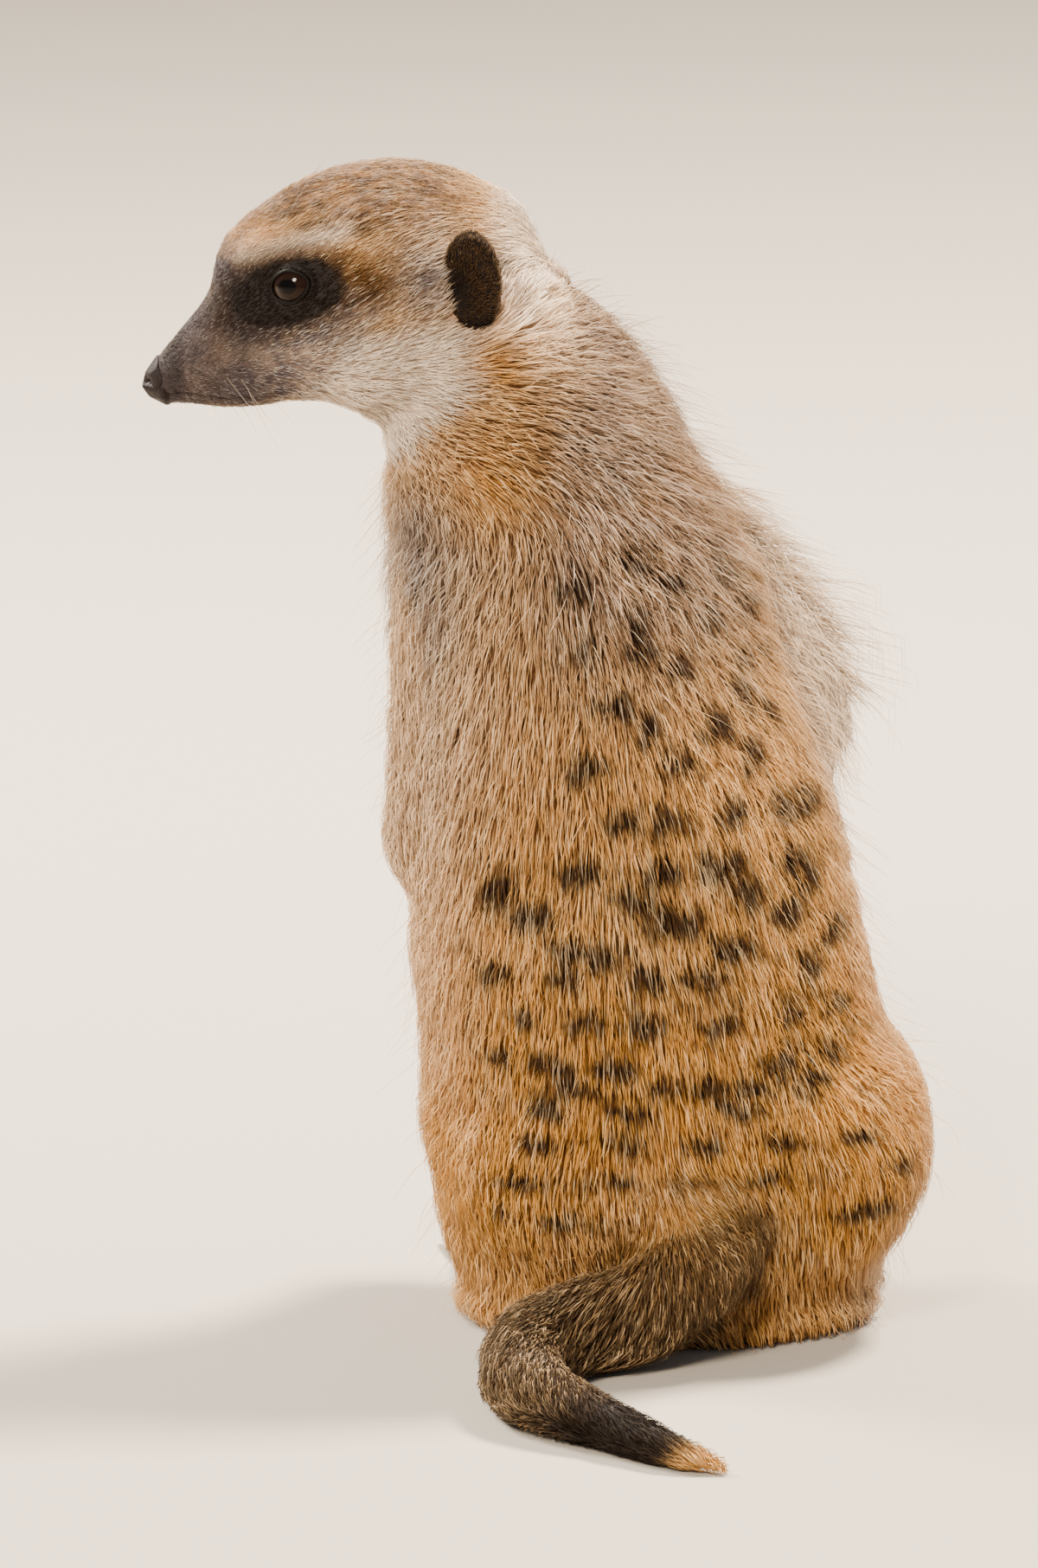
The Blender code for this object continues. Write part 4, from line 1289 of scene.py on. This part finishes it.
def unwrapped(points, node_names):
    """Each root's place on an unwrap of the skin: every node is rolled out about its length into a tile."""
    spots = np.zeros((len(points), 2))
    kinds = sorted(set(node_names))
    columns = int(np.ceil(np.sqrt(len(kinds))))
    rows = int(np.ceil(len(kinds) / columns))
    for number, node in enumerate(kinds):
        mine = node_names == node
        if node == "trunk":
            angle, height = spine_angle(points[mine])
            angle = np.where(np.ptp(angle) > 300, angle % 360, angle)
            rolled = np.stack((angle, height), axis=1)
        else:
            off = points[mine] - centre(node)
            level = off - off.mean(0)
            axes = np.linalg.svd(level.T @ level)[2]
            rolled = np.stack((np.arctan2(off @ axes[1], off @ axes[2]), off @ axes[0]), axis=1)
        rolled = (rolled - rolled.min(0)) / np.maximum(np.ptp(rolled, axis=0), 1e-9)
        corner = np.array((number % columns, number // columns))
        spots[mine] = (corner + 0.02 + rolled * 0.95) / (columns, rows)
    return spots


def marked(roots, lines):
    """The markings along each hair: it is coloured by what it lies over, so that spots keep their edges."""
    rings = lines.shape[1]
    shares = {kind: np.repeat(roots.read(share), rings) for kind, share in BUILT["shares"].items()}
    reach = ring_shares(rings)[None, :] * (roots.length * MM)[:, None]
    tail_along = roots.read(BUILT["tail_along"])[:, None] + reach / BUILT["tail_length"]
    marks, more = markings(lines.reshape(-1, 3), shares, tail_along.ravel())
    marks, more = marks.reshape(-1, rings, 4), more.reshape(-1, rings, 4)
    # Each tuft's own lightness: most are near the middle, and grizzled parts have more dark and pale ones.
    patchy = cloud(roots.points / MM, size=3.0, seed=8)
    ticked = 0.12 * shares["neck"][::rings] + shares["head"][::rings] * (0.06 + 0.25 * marks[:, -1, 2])
    high = ramp(115, 150, roots.points[:, 2] / MM)
    ticked += (0.07 + 0.12 * high) * (shares["trunk"] + shares["upper_arm"])[::rings]
    spread = 0.15 * (1 + 1.3 * marks[:, -1, 2])
    shade = roots.draw.normal(0, 1, roots.count) * spread + 0.84 + 0.3 * (patchy - 0.5)
    shade -= 0.45 * (roots.draw.random(roots.count) < ticked + 0.03)
    more[:, :, 2] = np.clip(shade, 0.02, 1)[:, None]
    # A quarter of the tail's tufts are golden among the dark ones.
    more[:, :, 1] *= np.where(roots.draw.random(roots.count) < 0.25, 0.58, 1.0)[:, None]
    return marks, more


def pieces_of(roots, lines, regions, names):
    """The tufts as one mesh to a region."""
    marks, more = marked(roots, lines)
    made = []
    for region in sorted(set(regions)):
        mine = regions == region
        spots = unwrapped(roots.points[mine], names[mine])
        measures = roots.normals[mine], roots.width[mine]
        mesh = tuft_mesh(region, lines[mine], *measures, marks[mine], more[mine], spots)
        made.append(linked(region, mesh))
        triangles = len(triangles_of(mesh))
        print(region, int(mine.sum()), "tufts", triangles, "triangles")
        if triangles >= PIECE_TRIANGLES:
            raise RuntimeError(f"{region} has {triangles} triangles: lower the coat's fullness")
    return made


def grow_coat(sizes):
    """The coat of the whole skin, a piece to each region."""
    net, growth, owner = BUILT["net"], BUILT["growth"], BUILT["owner"]
    pelt = Pelt(net, BUILT["flow"], pitch=2 * MM)
    BUILT["pelt"] = pelt
    density = growth[:, DENSITY] * haired(net) * sizes.fullness
    # The spotted back's tufts have one ring more, so that its spots keep their edges.
    angle, _ = spine_angle(net.points)
    spotted = (owner == "trunk") & (np.abs(angle) <= BACK_TO + 2)
    made = []
    for steps, here in ((3, spotted), (2, ~spotted)):
        roots = Roots(pelt, density * here, growth, SEED + steps)
        roots.length *= sizes.hair_length
        names = owner[net.triangles[roots.at, 0]]
        # Long hair draws together into locks more than short hair does.
        pull = np.where(roots.length > 5, 0.6, 0.25)
        lines = roots.clumped(roots.grown(steps, sizes.drift), every=7, pull=pull)
        regions = region_of(names, roots.points)
        on_back = np.isin(regions, BACK_PIECES)
        # Where the two kinds of tuft meet, each has its own piece.
        if steps == 2:
            regions = np.where(on_back, "coat_sides", regions)
        else:
            regions = np.where(on_back, regions, "coat_edges")
        made += pieces_of(roots, lines, regions, names)
    return made


def grow_strays(sizes):
    """Long single hairs that stand off the coat, most of them over the nape, shoulders and arms."""
    net, shares = BUILT["net"], BUILT["shares"]
    angle, height = spine_angle(net.points)
    trunk = shares["trunk"] * (0.04 + 0.06 * ramp(100, 160, height) * ramp(140, 100, np.abs(angle)))
    density = trunk + shares["neck"] * 0.11 + shares["upper_arm"] * 0.06 + shares["thigh"] * 0.015
    elbow = net.points[:, 0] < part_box("upper_arm_right")[0].x + 16 * MM
    density = density + shares["upper_arm"] * elbow * 0.6 + near_elbow(net.points) * 0.6
    growth = BUILT["growth"].copy()
    growth[:, LENGTH] *= 1.55
    growth[:, WIDTH] = 0.17
    growth[:, LIFT] *= 1.75
    roots = Roots(BUILT["pelt"], density * sizes.fullness, growth, SEED + 4)
    names = BUILT["owner"][net.triangles[roots.at, 0]]
    lines = roots.grown(4, sizes.drift * 1.5)
    return pieces_of(roots, lines, np.full(roots.count, "coat_long_hairs"), names)


def grow_ears(sizes):
    """Short dark hair over the ears' shells, which lies towards their rims."""
    made = []
    for side, sign in SIDES.items():
        net = BUILT["ear_nets"][side]
        middle = centre(f"ear_{side}")
        root = middle + (Head.forward * 3.5 - UP * 5 - Head.aside * sign * 2) * MM
        growth = np.tile(np.array(GROWTH["ear"], float), (net.count, 1))
        pelt = Pelt(net, net.flattened(net.points - root), pitch=MM)
        outward = net.normals @ (Head.aside * sign)
        roots = Roots(pelt, 4.5 + 2.5 * (outward > 0), growth, SEED + 5)
        lines = roots.clumped(roots.grown(2, sizes.drift), every=5, pull=0.2)
        # The hair is painted blackest in the hollow and fold in front, as painted shade in that recess; it is
        # also blackest low down, and brown behind it and above.
        off = (roots.points - middle) / MM
        ahead, high = off @ Head.forward, off[:, 2]
        black = np.maximum(bell((ahead, 3.5, 2.8), (high, -2.5, 4.5)), ramp(-5, -9, high))
        blackness = 0.42 + 0.6 * black - 0.3 * (roots.draw.random(roots.count) < 0.12)
        marks, more = np.zeros((2, roots.count, 3, 4))
        marks[:, :, 3] = 0.88
        more[:, :, 0] = np.clip(blackness, 0, 1)[:, None]
        more[:, :, 2] = np.clip(roots.draw.normal(0.55, 0.15, roots.count), 0, 1)[:, None]
        spots = unwrapped(roots.points, np.full(roots.count, f"ear_{side}"))
        mesh = tuft_mesh(f"coat_ear_{side}", lines, roots.normals, roots.width, marks, more, spots)
        made.append(linked(mesh.name, mesh))
    return made


def haired(net):
    """0 where no hair grows: the nose, the lids' rims and the soles."""
    bare = ramp(4.4, 5.4, away(net.points, centre("nose")))
    for side in SIDES:
        past, from_eye = past_lids(net.points, side)
        bare[(past < 3) & (from_eye < EYE_RADIUS + 2)] = 0
    under = (net.points[:, 2] < 1.2 * MM) & (net.normals[:, 2] < -0.6)
    bare[under] *= 0.3
    return bare


# Operators' settings.


class MeerkatSizes(bpy.types.PropertyGroup):
    """Sizes of the skin and coat."""

    skin_grid: FloatProperty(
        name="Skin grid", description="Grid of the skin's mesh", default=0.8 * MM, unit="LENGTH"
    )
    skin_kept: FloatProperty(
        name="Skin kept",
        description="Share of the body skin's faces that is kept",
        default=0.42,
        min=0.05,
        max=1,
        subtype="FACTOR",
    )
    hair_length: FloatProperty(
        name="Hair length", description="Length of all hair", default=1.0, min=0.2, max=2
    )
    fullness: FloatProperty(
        name="Fullness", description="Tufts on the whole coat", default=0.845, min=0.05, max=1
    )
    drift: FloatProperty(name="Drift", description="How far hairs stray sideways", default=0.13, min=0, max=1)


def colour(name, description, code):
    return FloatVectorProperty(
        name=name, description=description, default=linear(code), size=4, subtype="COLOR", min=0, max=1
    )


class MeerkatColours(bpy.types.PropertyGroup):
    """Pigments of the coat and of the bare parts."""

    sand: colour("Sand", "The coat's ground colour", "#DFB784")
    rust: colour("Rust", "Crown, haunches and neck", "#D99F48")
    cream: colour("Cream", "Cheeks, throat and belly", "#FBEFDF")
    grey: colour("Grey", "Muzzle and shoulders", "#7A7076")
    olive: colour("Olive", "Most of the tail", "#3D2C19")
    band: colour("Band", "Spots and bands of the back", "#3A2413")
    dark: colour("Dark", "Eye patches, ears and tail's end", "#1C1311")
    iris: colour("Iris", "Ring of the eye", "#1B1008")
    nose: colour("Nose", "Nose's leather", "#1A1414")
    claw: colour("Claw", "Root of a claw", "#140F0C")


class MeerkatStage(bpy.types.PropertyGroup):
    """The camera and the light."""

    azimuth: FloatProperty(
        name="Azimuth", description="Camera's way round", default=radians(172), subtype="ANGLE"
    )
    elevation: FloatProperty(
        name="Elevation", description="Camera above level", default=radians(11), subtype="ANGLE"
    )
    distance: FloatProperty(
        name="Distance", description="Camera to the animal", default=2.717, unit="LENGTH"
    )
    lens: FloatProperty(name="Lens", description="Focal length in millimetres", default=300)
    fill: FloatProperty(name="Fill", description="Watts of the light beside the camera", default=400)
    rim: FloatProperty(name="Rim", description="Watts of the lights behind", default=260)


TARGET = Vector((0.0309, -0.0258, 0.10935))  # what the camera looks at


def area_light(name, place, aim, size, watts, tint):
    lamp = bpy.data.lights.new(name, "AREA")
    lamp.shape = "DISK"
    lamp.size = size
    lamp.energy = watts
    lamp.color = tint[:3]
    made = linked(name, lamp)
    made.location = place
    made.rotation_euler = (Vector(aim) - Vector(place)).to_track_quat("-Z", "Y").to_euler()
    return made


class MEERKAT_OT_stage(bpy.types.Operator):
    """Makes the floor, the light and the camera"""

    bl_idname = "meerkat.stage"
    bl_label = "Stage"

    def execute(self, context):
        settings = context.scene.meerkat_stage
        bm = bmesh.new()
        bmesh.ops.create_circle(bm, cap_ends=True, segments=96, radius=14)
        mesh = bpy.data.meshes.new("floor")
        bm.to_mesh(mesh)
        bm.free()
        floor = linked("floor", mesh)
        made, tree = blank("Matt_Painted_Floor")
        # Matt paint: even and pale, with no gloss.
        looks = {"Base Color": linear("#A29B91"), "Roughness": 0.9, "Specular IOR Level": 0.1}
        paint = add_node(tree, PRINCIPLED, None, looks)
        add_node(tree, OUTPUT, None, {"Surface": paint.outputs[0]})
        mesh.materials.append(made)

        world = bpy.data.worlds.new("studio")
        world.use_nodes = True
        sky = world.node_tree.nodes["Background"]
        sky.inputs["Color"].default_value = linear("#E3E6EC")
        sky.inputs["Strength"].default_value = 0.6
        context.scene.world = world

        area_light("fill", (1.6, 3.0, 2.4), TARGET, 1.1, settings.fill, linear("#FFF0DA"))
        area_light("rim_right", (-0.85, -0.75, 1.7), TARGET, 0.4, settings.rim, linear("#FFEFDA"))
        area_light("rim_left", (0.9, -0.9, 1.0), TARGET, 0.6, settings.rim * 0.35, linear("#FFF4E6"))

        lens = bpy.data.cameras.new("camera")
        lens.sensor_width = 36
        lens.lens = settings.lens
        lens.dof.use_dof = False
        lens.clip_end = 60
        camera = linked("camera", lens)
        turn, lift = settings.azimuth, settings.elevation
        back = Vector((sin(turn) * cos(lift), -cos(turn) * cos(lift), sin(lift)))
        camera.location = TARGET + back * settings.distance
        camera.rotation_euler = (-back).to_track_quat("-Z", "Y").to_euler()
        context.scene.camera = camera
        return {"FINISHED"}


class MEERKAT_OT_skin(bpy.types.Operator):
    """Makes the one skin that takes the place of the solids of flesh"""

    bl_idname = "meerkat.skin"
    bl_label = "Skin"

    def execute(self, context):
        low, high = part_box("tail_root")
        BUILT["tail_base"] = np.array((low.x + 8 * MM, low.y + 12 * MM, (low.z + high.z) / 2))
        made = build_skin(context.scene.meerkat_sizes)
        flesh = [node for node in FLESH if not node.startswith(("ear_", "nose"))]
        dress(made, skin_material(context.scene.meerkat_colours), FUR_SLOT, *flesh)
        return {"FINISHED"}


class MEERKAT_OT_coat(bpy.types.Operator):
    """Grows the coat's tufts over the skin"""

    bl_idname = "meerkat.coat"
    bl_label = "Coat"

    def execute(self, context):
        sizes = context.scene.meerkat_sizes
        material = fur_material("Guard_Hair", context.scene.meerkat_colours)
        slots = {"coat_tail": TAIL_SLOT, "coat_ear_left": DARK_SLOT, "coat_ear_right": DARK_SLOT}
        for made in (*grow_coat(sizes), *grow_strays(sizes), *grow_ears(sizes)):
            dress(made, material, slots.get(made.name, FUR_SLOT))
        return {"FINISHED"}


def ball_mesh(name, middle, axis, radius, bulge, columns=48, rows=32):
    """A ball whose pole faces along axis, with a clear front that stands out by bulge."""
    level = unit(np.cross(UP, axis))
    tilt, turn = np.linspace(0, pi, rows + 1)[1:-1], np.arange(columns) * 2 * pi / columns
    out = radius + bulge * bell((tilt, 0, 0.55))
    rings = lathed((axis, level, np.cross(axis, level)), tilt[:, None], turn[None], out[:, None])
    points = np.concatenate((rings, [axis * (radius + bulge)], [-axis * radius])) + middle
    front, last = (rows - 1) * columns, (rows - 2) * columns
    caps = []
    for i in range(columns):
        j = (i + 1) % columns
        caps += [(front, i, j), (last + j, last + i, front + 1)]
    mesh = mesh_of(name, points, [strip_faces(rows - 1, columns), np.array(caps)])
    tilts = np.concatenate((np.repeat(tilt, columns), (0, pi)))
    turns = np.concatenate((np.tile(turn, rows - 1), (0, 0)))
    give(mesh, "iris", "FLOAT", tilts / IRIS_EDGE)
    wide = np.sin(tilts) * np.cos(turns) / sin(PUPIL_WIDE)
    tall = np.sin(tilts) * np.sin(turns) / sin(PUPIL_TALL)
    # The pupil's measure repeats on the ball's far side, so there it is put out of reach.
    give(mesh, "pupil", "FLOAT", np.hypot(wide, tall) + (tilts > 1.2) * 5)
    give(mesh, "round_iris", "FLOAT", turns)
    return mesh


def lids_mesh(name, side):
    """Both lids of an eye as one rounded rim over the ball, open in an almond, running under the coat."""
    columns = 56
    turn = np.arange(columns) * 2 * pi / columns
    past, above = np.array(LID_PROFILE).T
    tilt = np.radians(lid_opening(turn)[None] + past[:, None])
    rings = lathed(eye_axes(side), tilt, turn[None], (EYE_RADIUS + above[:, None]) * MM)
    mesh = mesh_of(name, rings + centre(f"eye_{side}"), [strip_faces(len(past), columns)])
    if np.array(mesh.polygons[columns * 6].normal) @ eye_axes(side)[0] < 0:
        mesh.flip_normals()
    return mesh


class MEERKAT_OT_eyes(bpy.types.Operator):
    """Makes the eyeballs and their lids"""

    bl_idname = "meerkat.eyes"
    bl_label = "Eyes"

    def execute(self, context):
        colours = context.scene.meerkat_colours
        wet = eye_material(colours)
        rim = bare_skin_material("Lid_Skin", linear("#080605"), linear("#100B0A"), 0.35, 0.5, 0.07)
        for side in SIDES:
            eye = f"eye_{side}"
            ball = ball_mesh("eyeball", centre(eye), eye_axes(side)[0], EYE_RADIUS * MM, 0.2 * MM)
            dress(linked(f"eyeball_{side}", ball), wet, "eyeball", eye)
            dress(linked(f"eyelids_{side}", lids_mesh("eyelids", side)), rim, DARK_SLOT)
        return {"FINISHED"}


class MEERKAT_OT_nose(bpy.types.Operator):
    """Makes the nose's pad with its nostrils"""

    bl_idname = "meerkat.nose"
    bl_label = "Nose"

    def execute(self, context):
        made = remeshed(linked("nose_pad", merged_copy("nose")), 0.22 * MM)
        net = Net(made.data)
        net = moved(made.data, net.smoothed(net.points, passes=4))
        forward, aside, rise = Head.read(net.points)
        side, tip = np.abs(aside), forward.max()
        across = (forward - forward.min()) / np.ptp(forward)
        # Nostrils open forwards and out, each with a slit that curls back from it.
        hole = bell((side, 2.3, 1.15), (rise, rise.min() + 0.52 * np.ptp(rise), 1.0)) ** 1.2
        slit = groove(forward, rise, ((tip - 1.6, -24.6), (tip - 3.4, -25.2), (tip - 4.6, -24.4)))
        deep = hole * ramp(0.35, 0.7, across) * 1.5 + bell((slit, 0, 0.35)) * ramp(2.2, 3.2, side) * 0.5
        parting = bell((aside, 0, 0.35)) * ramp(0.5, 0.9, across) * ramp(-22.5, -24.5, rise)
        push = 0.15 - deep - parting * 0.45
        set_points(made.data, net.points + net.normals * (push * MM)[:, None])
        smooth_shaded(made.data)
        colours = context.scene.meerkat_colours
        leather = bare_skin_material("Nose_Leather", colours.nose, linear("#1C1514"), 0.5, 0.55, 0.1)
        dress(made, leather, "nose_skin", "nose")
        return {"FINISHED"}


class MEERKAT_OT_ears(bpy.types.Operator):
    """Makes the ears' folded shells"""

    bl_idname = "meerkat.ears"
    bl_label = "Ears"

    def execute(self, context):
        velvet = bare_skin_material("Ear_Skin", linear("#0C0807"), linear("#17100E"), 0.4, 0.7, 0.06)
        BUILT["ear_nets"] = {}
        for side, sign in SIDES.items():
            made = remeshed(linked(f"ear_shell_{side}", merged_copy(f"ear_{side}")), 0.45 * MM)
            net = Net(made.data)
            net = moved(made.data, net.smoothed(net.points, passes=3))
            off = (net.points - centre(f"ear_{side}")) / MM
            forward, rise = off @ Head.forward, off[:, 2]
            aside = Head.aside * sign
            outer = ramp(0.0, 0.6, net.normals @ aside)
            # A hollow opens forwards, with a raised fold round it and a rolled rim behind.
            hollow = bell((forward, 0.8, 2.6), (rise, -0.5, 5.0))
            fold, slit = (groove(forward, rise, line) for line in (EAR_FOLD, EAR_SLIT))
            rim = bell((np.hypot(forward / EAR_HALF[0], rise / EAR_HALF[1]), 0.86, 0.1)) * (forward < 3)
            push = 0.9 * bell((fold, 0, 0.9)) + 0.6 * rim - 1.25 * hollow - 0.6 * bell((slit, 0, 0.7))
            inside = ramp(1.0, 0.8, np.hypot(forward / (EAR_HALF[0] + 0.1), rise / (EAR_HALF[1] + 0.1)))
            push *= outer * np.maximum(inside, 0.2)
            BUILT["ear_nets"][side] = moved(made.data, net.points + aside * (push * MM)[:, None])
            smooth_shaded(made.data)
            dress(made, velvet, DARK_SLOT, f"ear_{side}")
        return {"FINISHED"}


class MEERKAT_OT_claws(bpy.types.Operator):
    """Makes the smooth digging claws"""

    bl_idname = "meerkat.claws"
    bl_label = "Claws"

    def execute(self, context):
        horn = claw_material(context.scene.meerkat_colours)
        for limb, paw, side in LIMBS:
            nodes = sorted(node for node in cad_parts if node.startswith(f"claw_{limb}_{side}"))
            parts = [swollen(merged_copy(node), 0.3 * MM) for node in nodes]
            made = joined(f"claws_{limb}_{side}", parts)
            rounder = made.modifiers.new("rounder", "SUBSURF")
            rounder.levels = rounder.render_levels = 2
            applied(made)
            reach = np.linalg.norm(points_of(made.data) - centre(f"{paw}_{side}"), axis=1)
            give(made.data, "along", "FLOAT", (reach - reach.min()) / np.ptp(reach))
            smooth_shaded(made.data)
            dress(made, horn, "claw_horn", *nodes)
        return {"FINISHED"}


def hair_tree(material):
    """Geometry Nodes that make round hairs along lines: each tapers by how far along its line it is."""
    tree = bpy.data.node_groups.new("tapering_hairs", "GeometryNodeTree")
    tree.interface.new_socket("Lines", in_out="INPUT", socket_type="NodeSocketGeometry")
    for name, kind, value in (
        ("Root Width", "NodeSocketFloat", 0.12 * MM),
        ("Tip Width", "NodeSocketFloat", 0.03 * MM),
        ("Sides", "NodeSocketInt", 6),
    ):
        tree.interface.new_socket(name, in_out="INPUT", socket_type=kind).default_value = value
    tree.interface.new_socket("Hairs", in_out="OUTPUT", socket_type="NodeSocketGeometry")
    given = add_node(tree, "NodeGroupInput").outputs
    along = add_node(tree, "GeometryNodeInputNamedAttribute", {"data_type": "FLOAT"}, {"Name": "along"})
    ends = {"Value": along.outputs[0], "To Min": given["Root Width"], "To Max": given["Tip Width"]}
    width = add_node(tree, RANGE, None, ends).outputs["Result"]
    curves = add_node(tree, "GeometryNodeMeshToCurve", None, {"Mesh": given["Lines"]}).outputs[0]
    round_one = {"Resolution": given["Sides"], "Radius": 0.5}
    ring = add_node(tree, "GeometryNodeCurvePrimitiveCircle", None, round_one).outputs[0]
    swept = {"Curve": curves, "Profile Curve": ring, "Fill Caps": True, "Scale": width}
    solid = add_node(tree, "GeometryNodeCurveToMesh", None, swept)
    real = add_node(tree, "GeometryNodeRealizeInstances", None, {"Geometry": solid.outputs[0]})
    finish = {"Geometry": real.outputs[0], "Material": material}
    made = add_node(tree, "GeometryNodeSetMaterial", None, finish)
    add_node(tree, "NodeGroupOutput", None, {"Hairs": made.outputs[0]})
    return tree


def with_tree(made, tree, **values):
    """The object with the tree's result as its mesh. A value's name is its input's, with _ for a space."""
    change = made.modifiers.new(tree.name, "NODES")
    change.node_group = tree
    for socket in tree.interface.items_tree:
        name = socket.name.replace(" ", "_").lower()
        if name in values:
            change[socket.identifier] = values[name]
    return applied(made)


def whisker_rows():
    """Each whisker's root in millimetres forward, aside and up, its length, and how it stands out and up."""
    rows = []
    for sign in SIDES.values():
        for i in range(3):
            for j in range(4):
                rows.append((46 - 3.2 * j - i, sign * 7, -20 - 1.7 * i, 9 + 2.4 * j, 0.9, -0.05 - 0.25 * i))
        # The brow's bristles, then the cheek's.
        for i in range(3):
            rows.append((30 - 2 * i, sign * 9.5, 10 + 1.2 * i, 10 + 2 * i, 0.3, 1.1))
        rows.append((6, sign * 20, -14, 13, 0.8, -0.3))
        rows.append((4, sign * 20, -16, 11, 0.7, -0.4))
    return rows


class MEERKAT_OT_whiskers(bpy.types.Operator):
    """Makes the whiskers and the brow's bristles"""

    bl_idname = "meerkat.whiskers"
    bl_label = "Whiskers"

    def execute(self, context):
        net = BUILT["net"]
        draw = np.random.default_rng(SEED + 9)
        rows = whisker_rows()
        at = nearest_of(net.points, np.array([Head.place(*row[:3]) for row in rows]))
        count, steps, sides = len(rows), 9, 6
        share = np.linspace(0, 1, steps)
        lines = []
        for root, normal, (*_, length, out, rise) in zip(net.points[at], net.normals[at], rows):
            way = unit(normal * out - Head.forward * 0.55 + UP * rise * 0.6 + draw.normal(0, 0.08, 3))
            bend = (-Head.forward * 0.25 - UP * 0.2) * draw.uniform(0.5, 1.2)
            lines.append(root + (way * share[:, None] + bend * share[:, None] ** 2 * 0.5) * length * MM)
        mesh = bpy.data.meshes.new("whiskers")
        first = np.arange(count * steps).reshape(count, steps)[:, :-1].ravel()
        mesh.from_pydata(np.concatenate(lines), np.stack((first, first + 1), axis=1), [])
        more = np.zeros((count, steps, 4))
        more[:, :, 0] = draw.choice((0.85, 0.2), count)[:, None]
        more[:, :, 2] = 0.8
        more[:, :, 3] = share
        spots = np.zeros((count, steps, 3))
        spots[:, :, 0] = np.linspace(0.05, 0.95, count)[:, None]
        spots[:, :, 1] = 0.5 + share * UV_LONG
        give(mesh, "along", "FLOAT", np.tile(share, count))
        give(mesh, "marks", "FLOAT_COLOR", np.tile((0, 0.6, 0.5, 0), (count, steps, 1)))
        give(mesh, "more_marks", "FLOAT_COLOR", more)
        give(mesh, "spot", "FLOAT_VECTOR", spots)
        hair = fur_material("Whisker_Hair", context.scene.meerkat_colours, 0.1)
        made = with_tree(linked("whiskers", mesh), hair_tree(hair), sides=sides)
        # Each hair's patch on the map is as wide as the patches of the coat's tufts.
        place = read_all(made.data.attributes["spot"].data, "vector", 3)[:, :2]
        place[:, 0] += UV_LONG / sides * (np.arange(len(place)) % sides)
        lay_out(made.data, place[read_all(made.data.loops, "vertex_index", 1, np.int32)[:, 0]])
        smooth_shaded(made.data)
        dress(made, hair, FUR_SLOT)
        return {"FINISHED"}


class MEERKAT_PT_panel(bpy.types.Panel):
    """Lists what makes the animal"""

    bl_idname = "MEERKAT_PT_panel"
    bl_label = "Meerkat"
    bl_space_type = "VIEW_3D"
    bl_region_type = "UI"
    bl_category = "Meerkat"

    def draw(self, context):
        for made in OPERATORS:
            self.layout.operator(made.bl_idname)
        for settings in SETTINGS:
            group = getattr(context.scene, settings)
            for name in group.bl_rna.properties.keys():
                if name not in ("rna_type", "name"):
                    self.layout.prop(group, name)


OPERATORS = (
    MEERKAT_OT_stage,
    MEERKAT_OT_skin,
    MEERKAT_OT_eyes,
    MEERKAT_OT_nose,
    MEERKAT_OT_ears,
    MEERKAT_OT_claws,
    MEERKAT_OT_coat,
    MEERKAT_OT_whiskers,
)
SETTINGS = {"meerkat_sizes": MeerkatSizes, "meerkat_colours": MeerkatColours, "meerkat_stage": MeerkatStage}
CLASSES = (*SETTINGS.values(), *OPERATORS, MEERKAT_PT_panel)


def register():
    for made in CLASSES:
        bpy.utils.register_class(made)
    for name, group in SETTINGS.items():
        setattr(bpy.types.Scene, name, PointerProperty(type=group))


def unregister():
    for name in SETTINGS:
        delattr(bpy.types.Scene, name)
    for made in reversed(CLASSES):
        bpy.utils.unregister_class(made)


def main():
    register()
    for made in OPERATORS:
        group, name = made.bl_idname.split(".")
        getattr(getattr(bpy.ops, group), name)()


if __name__ == "__main__":
    main()
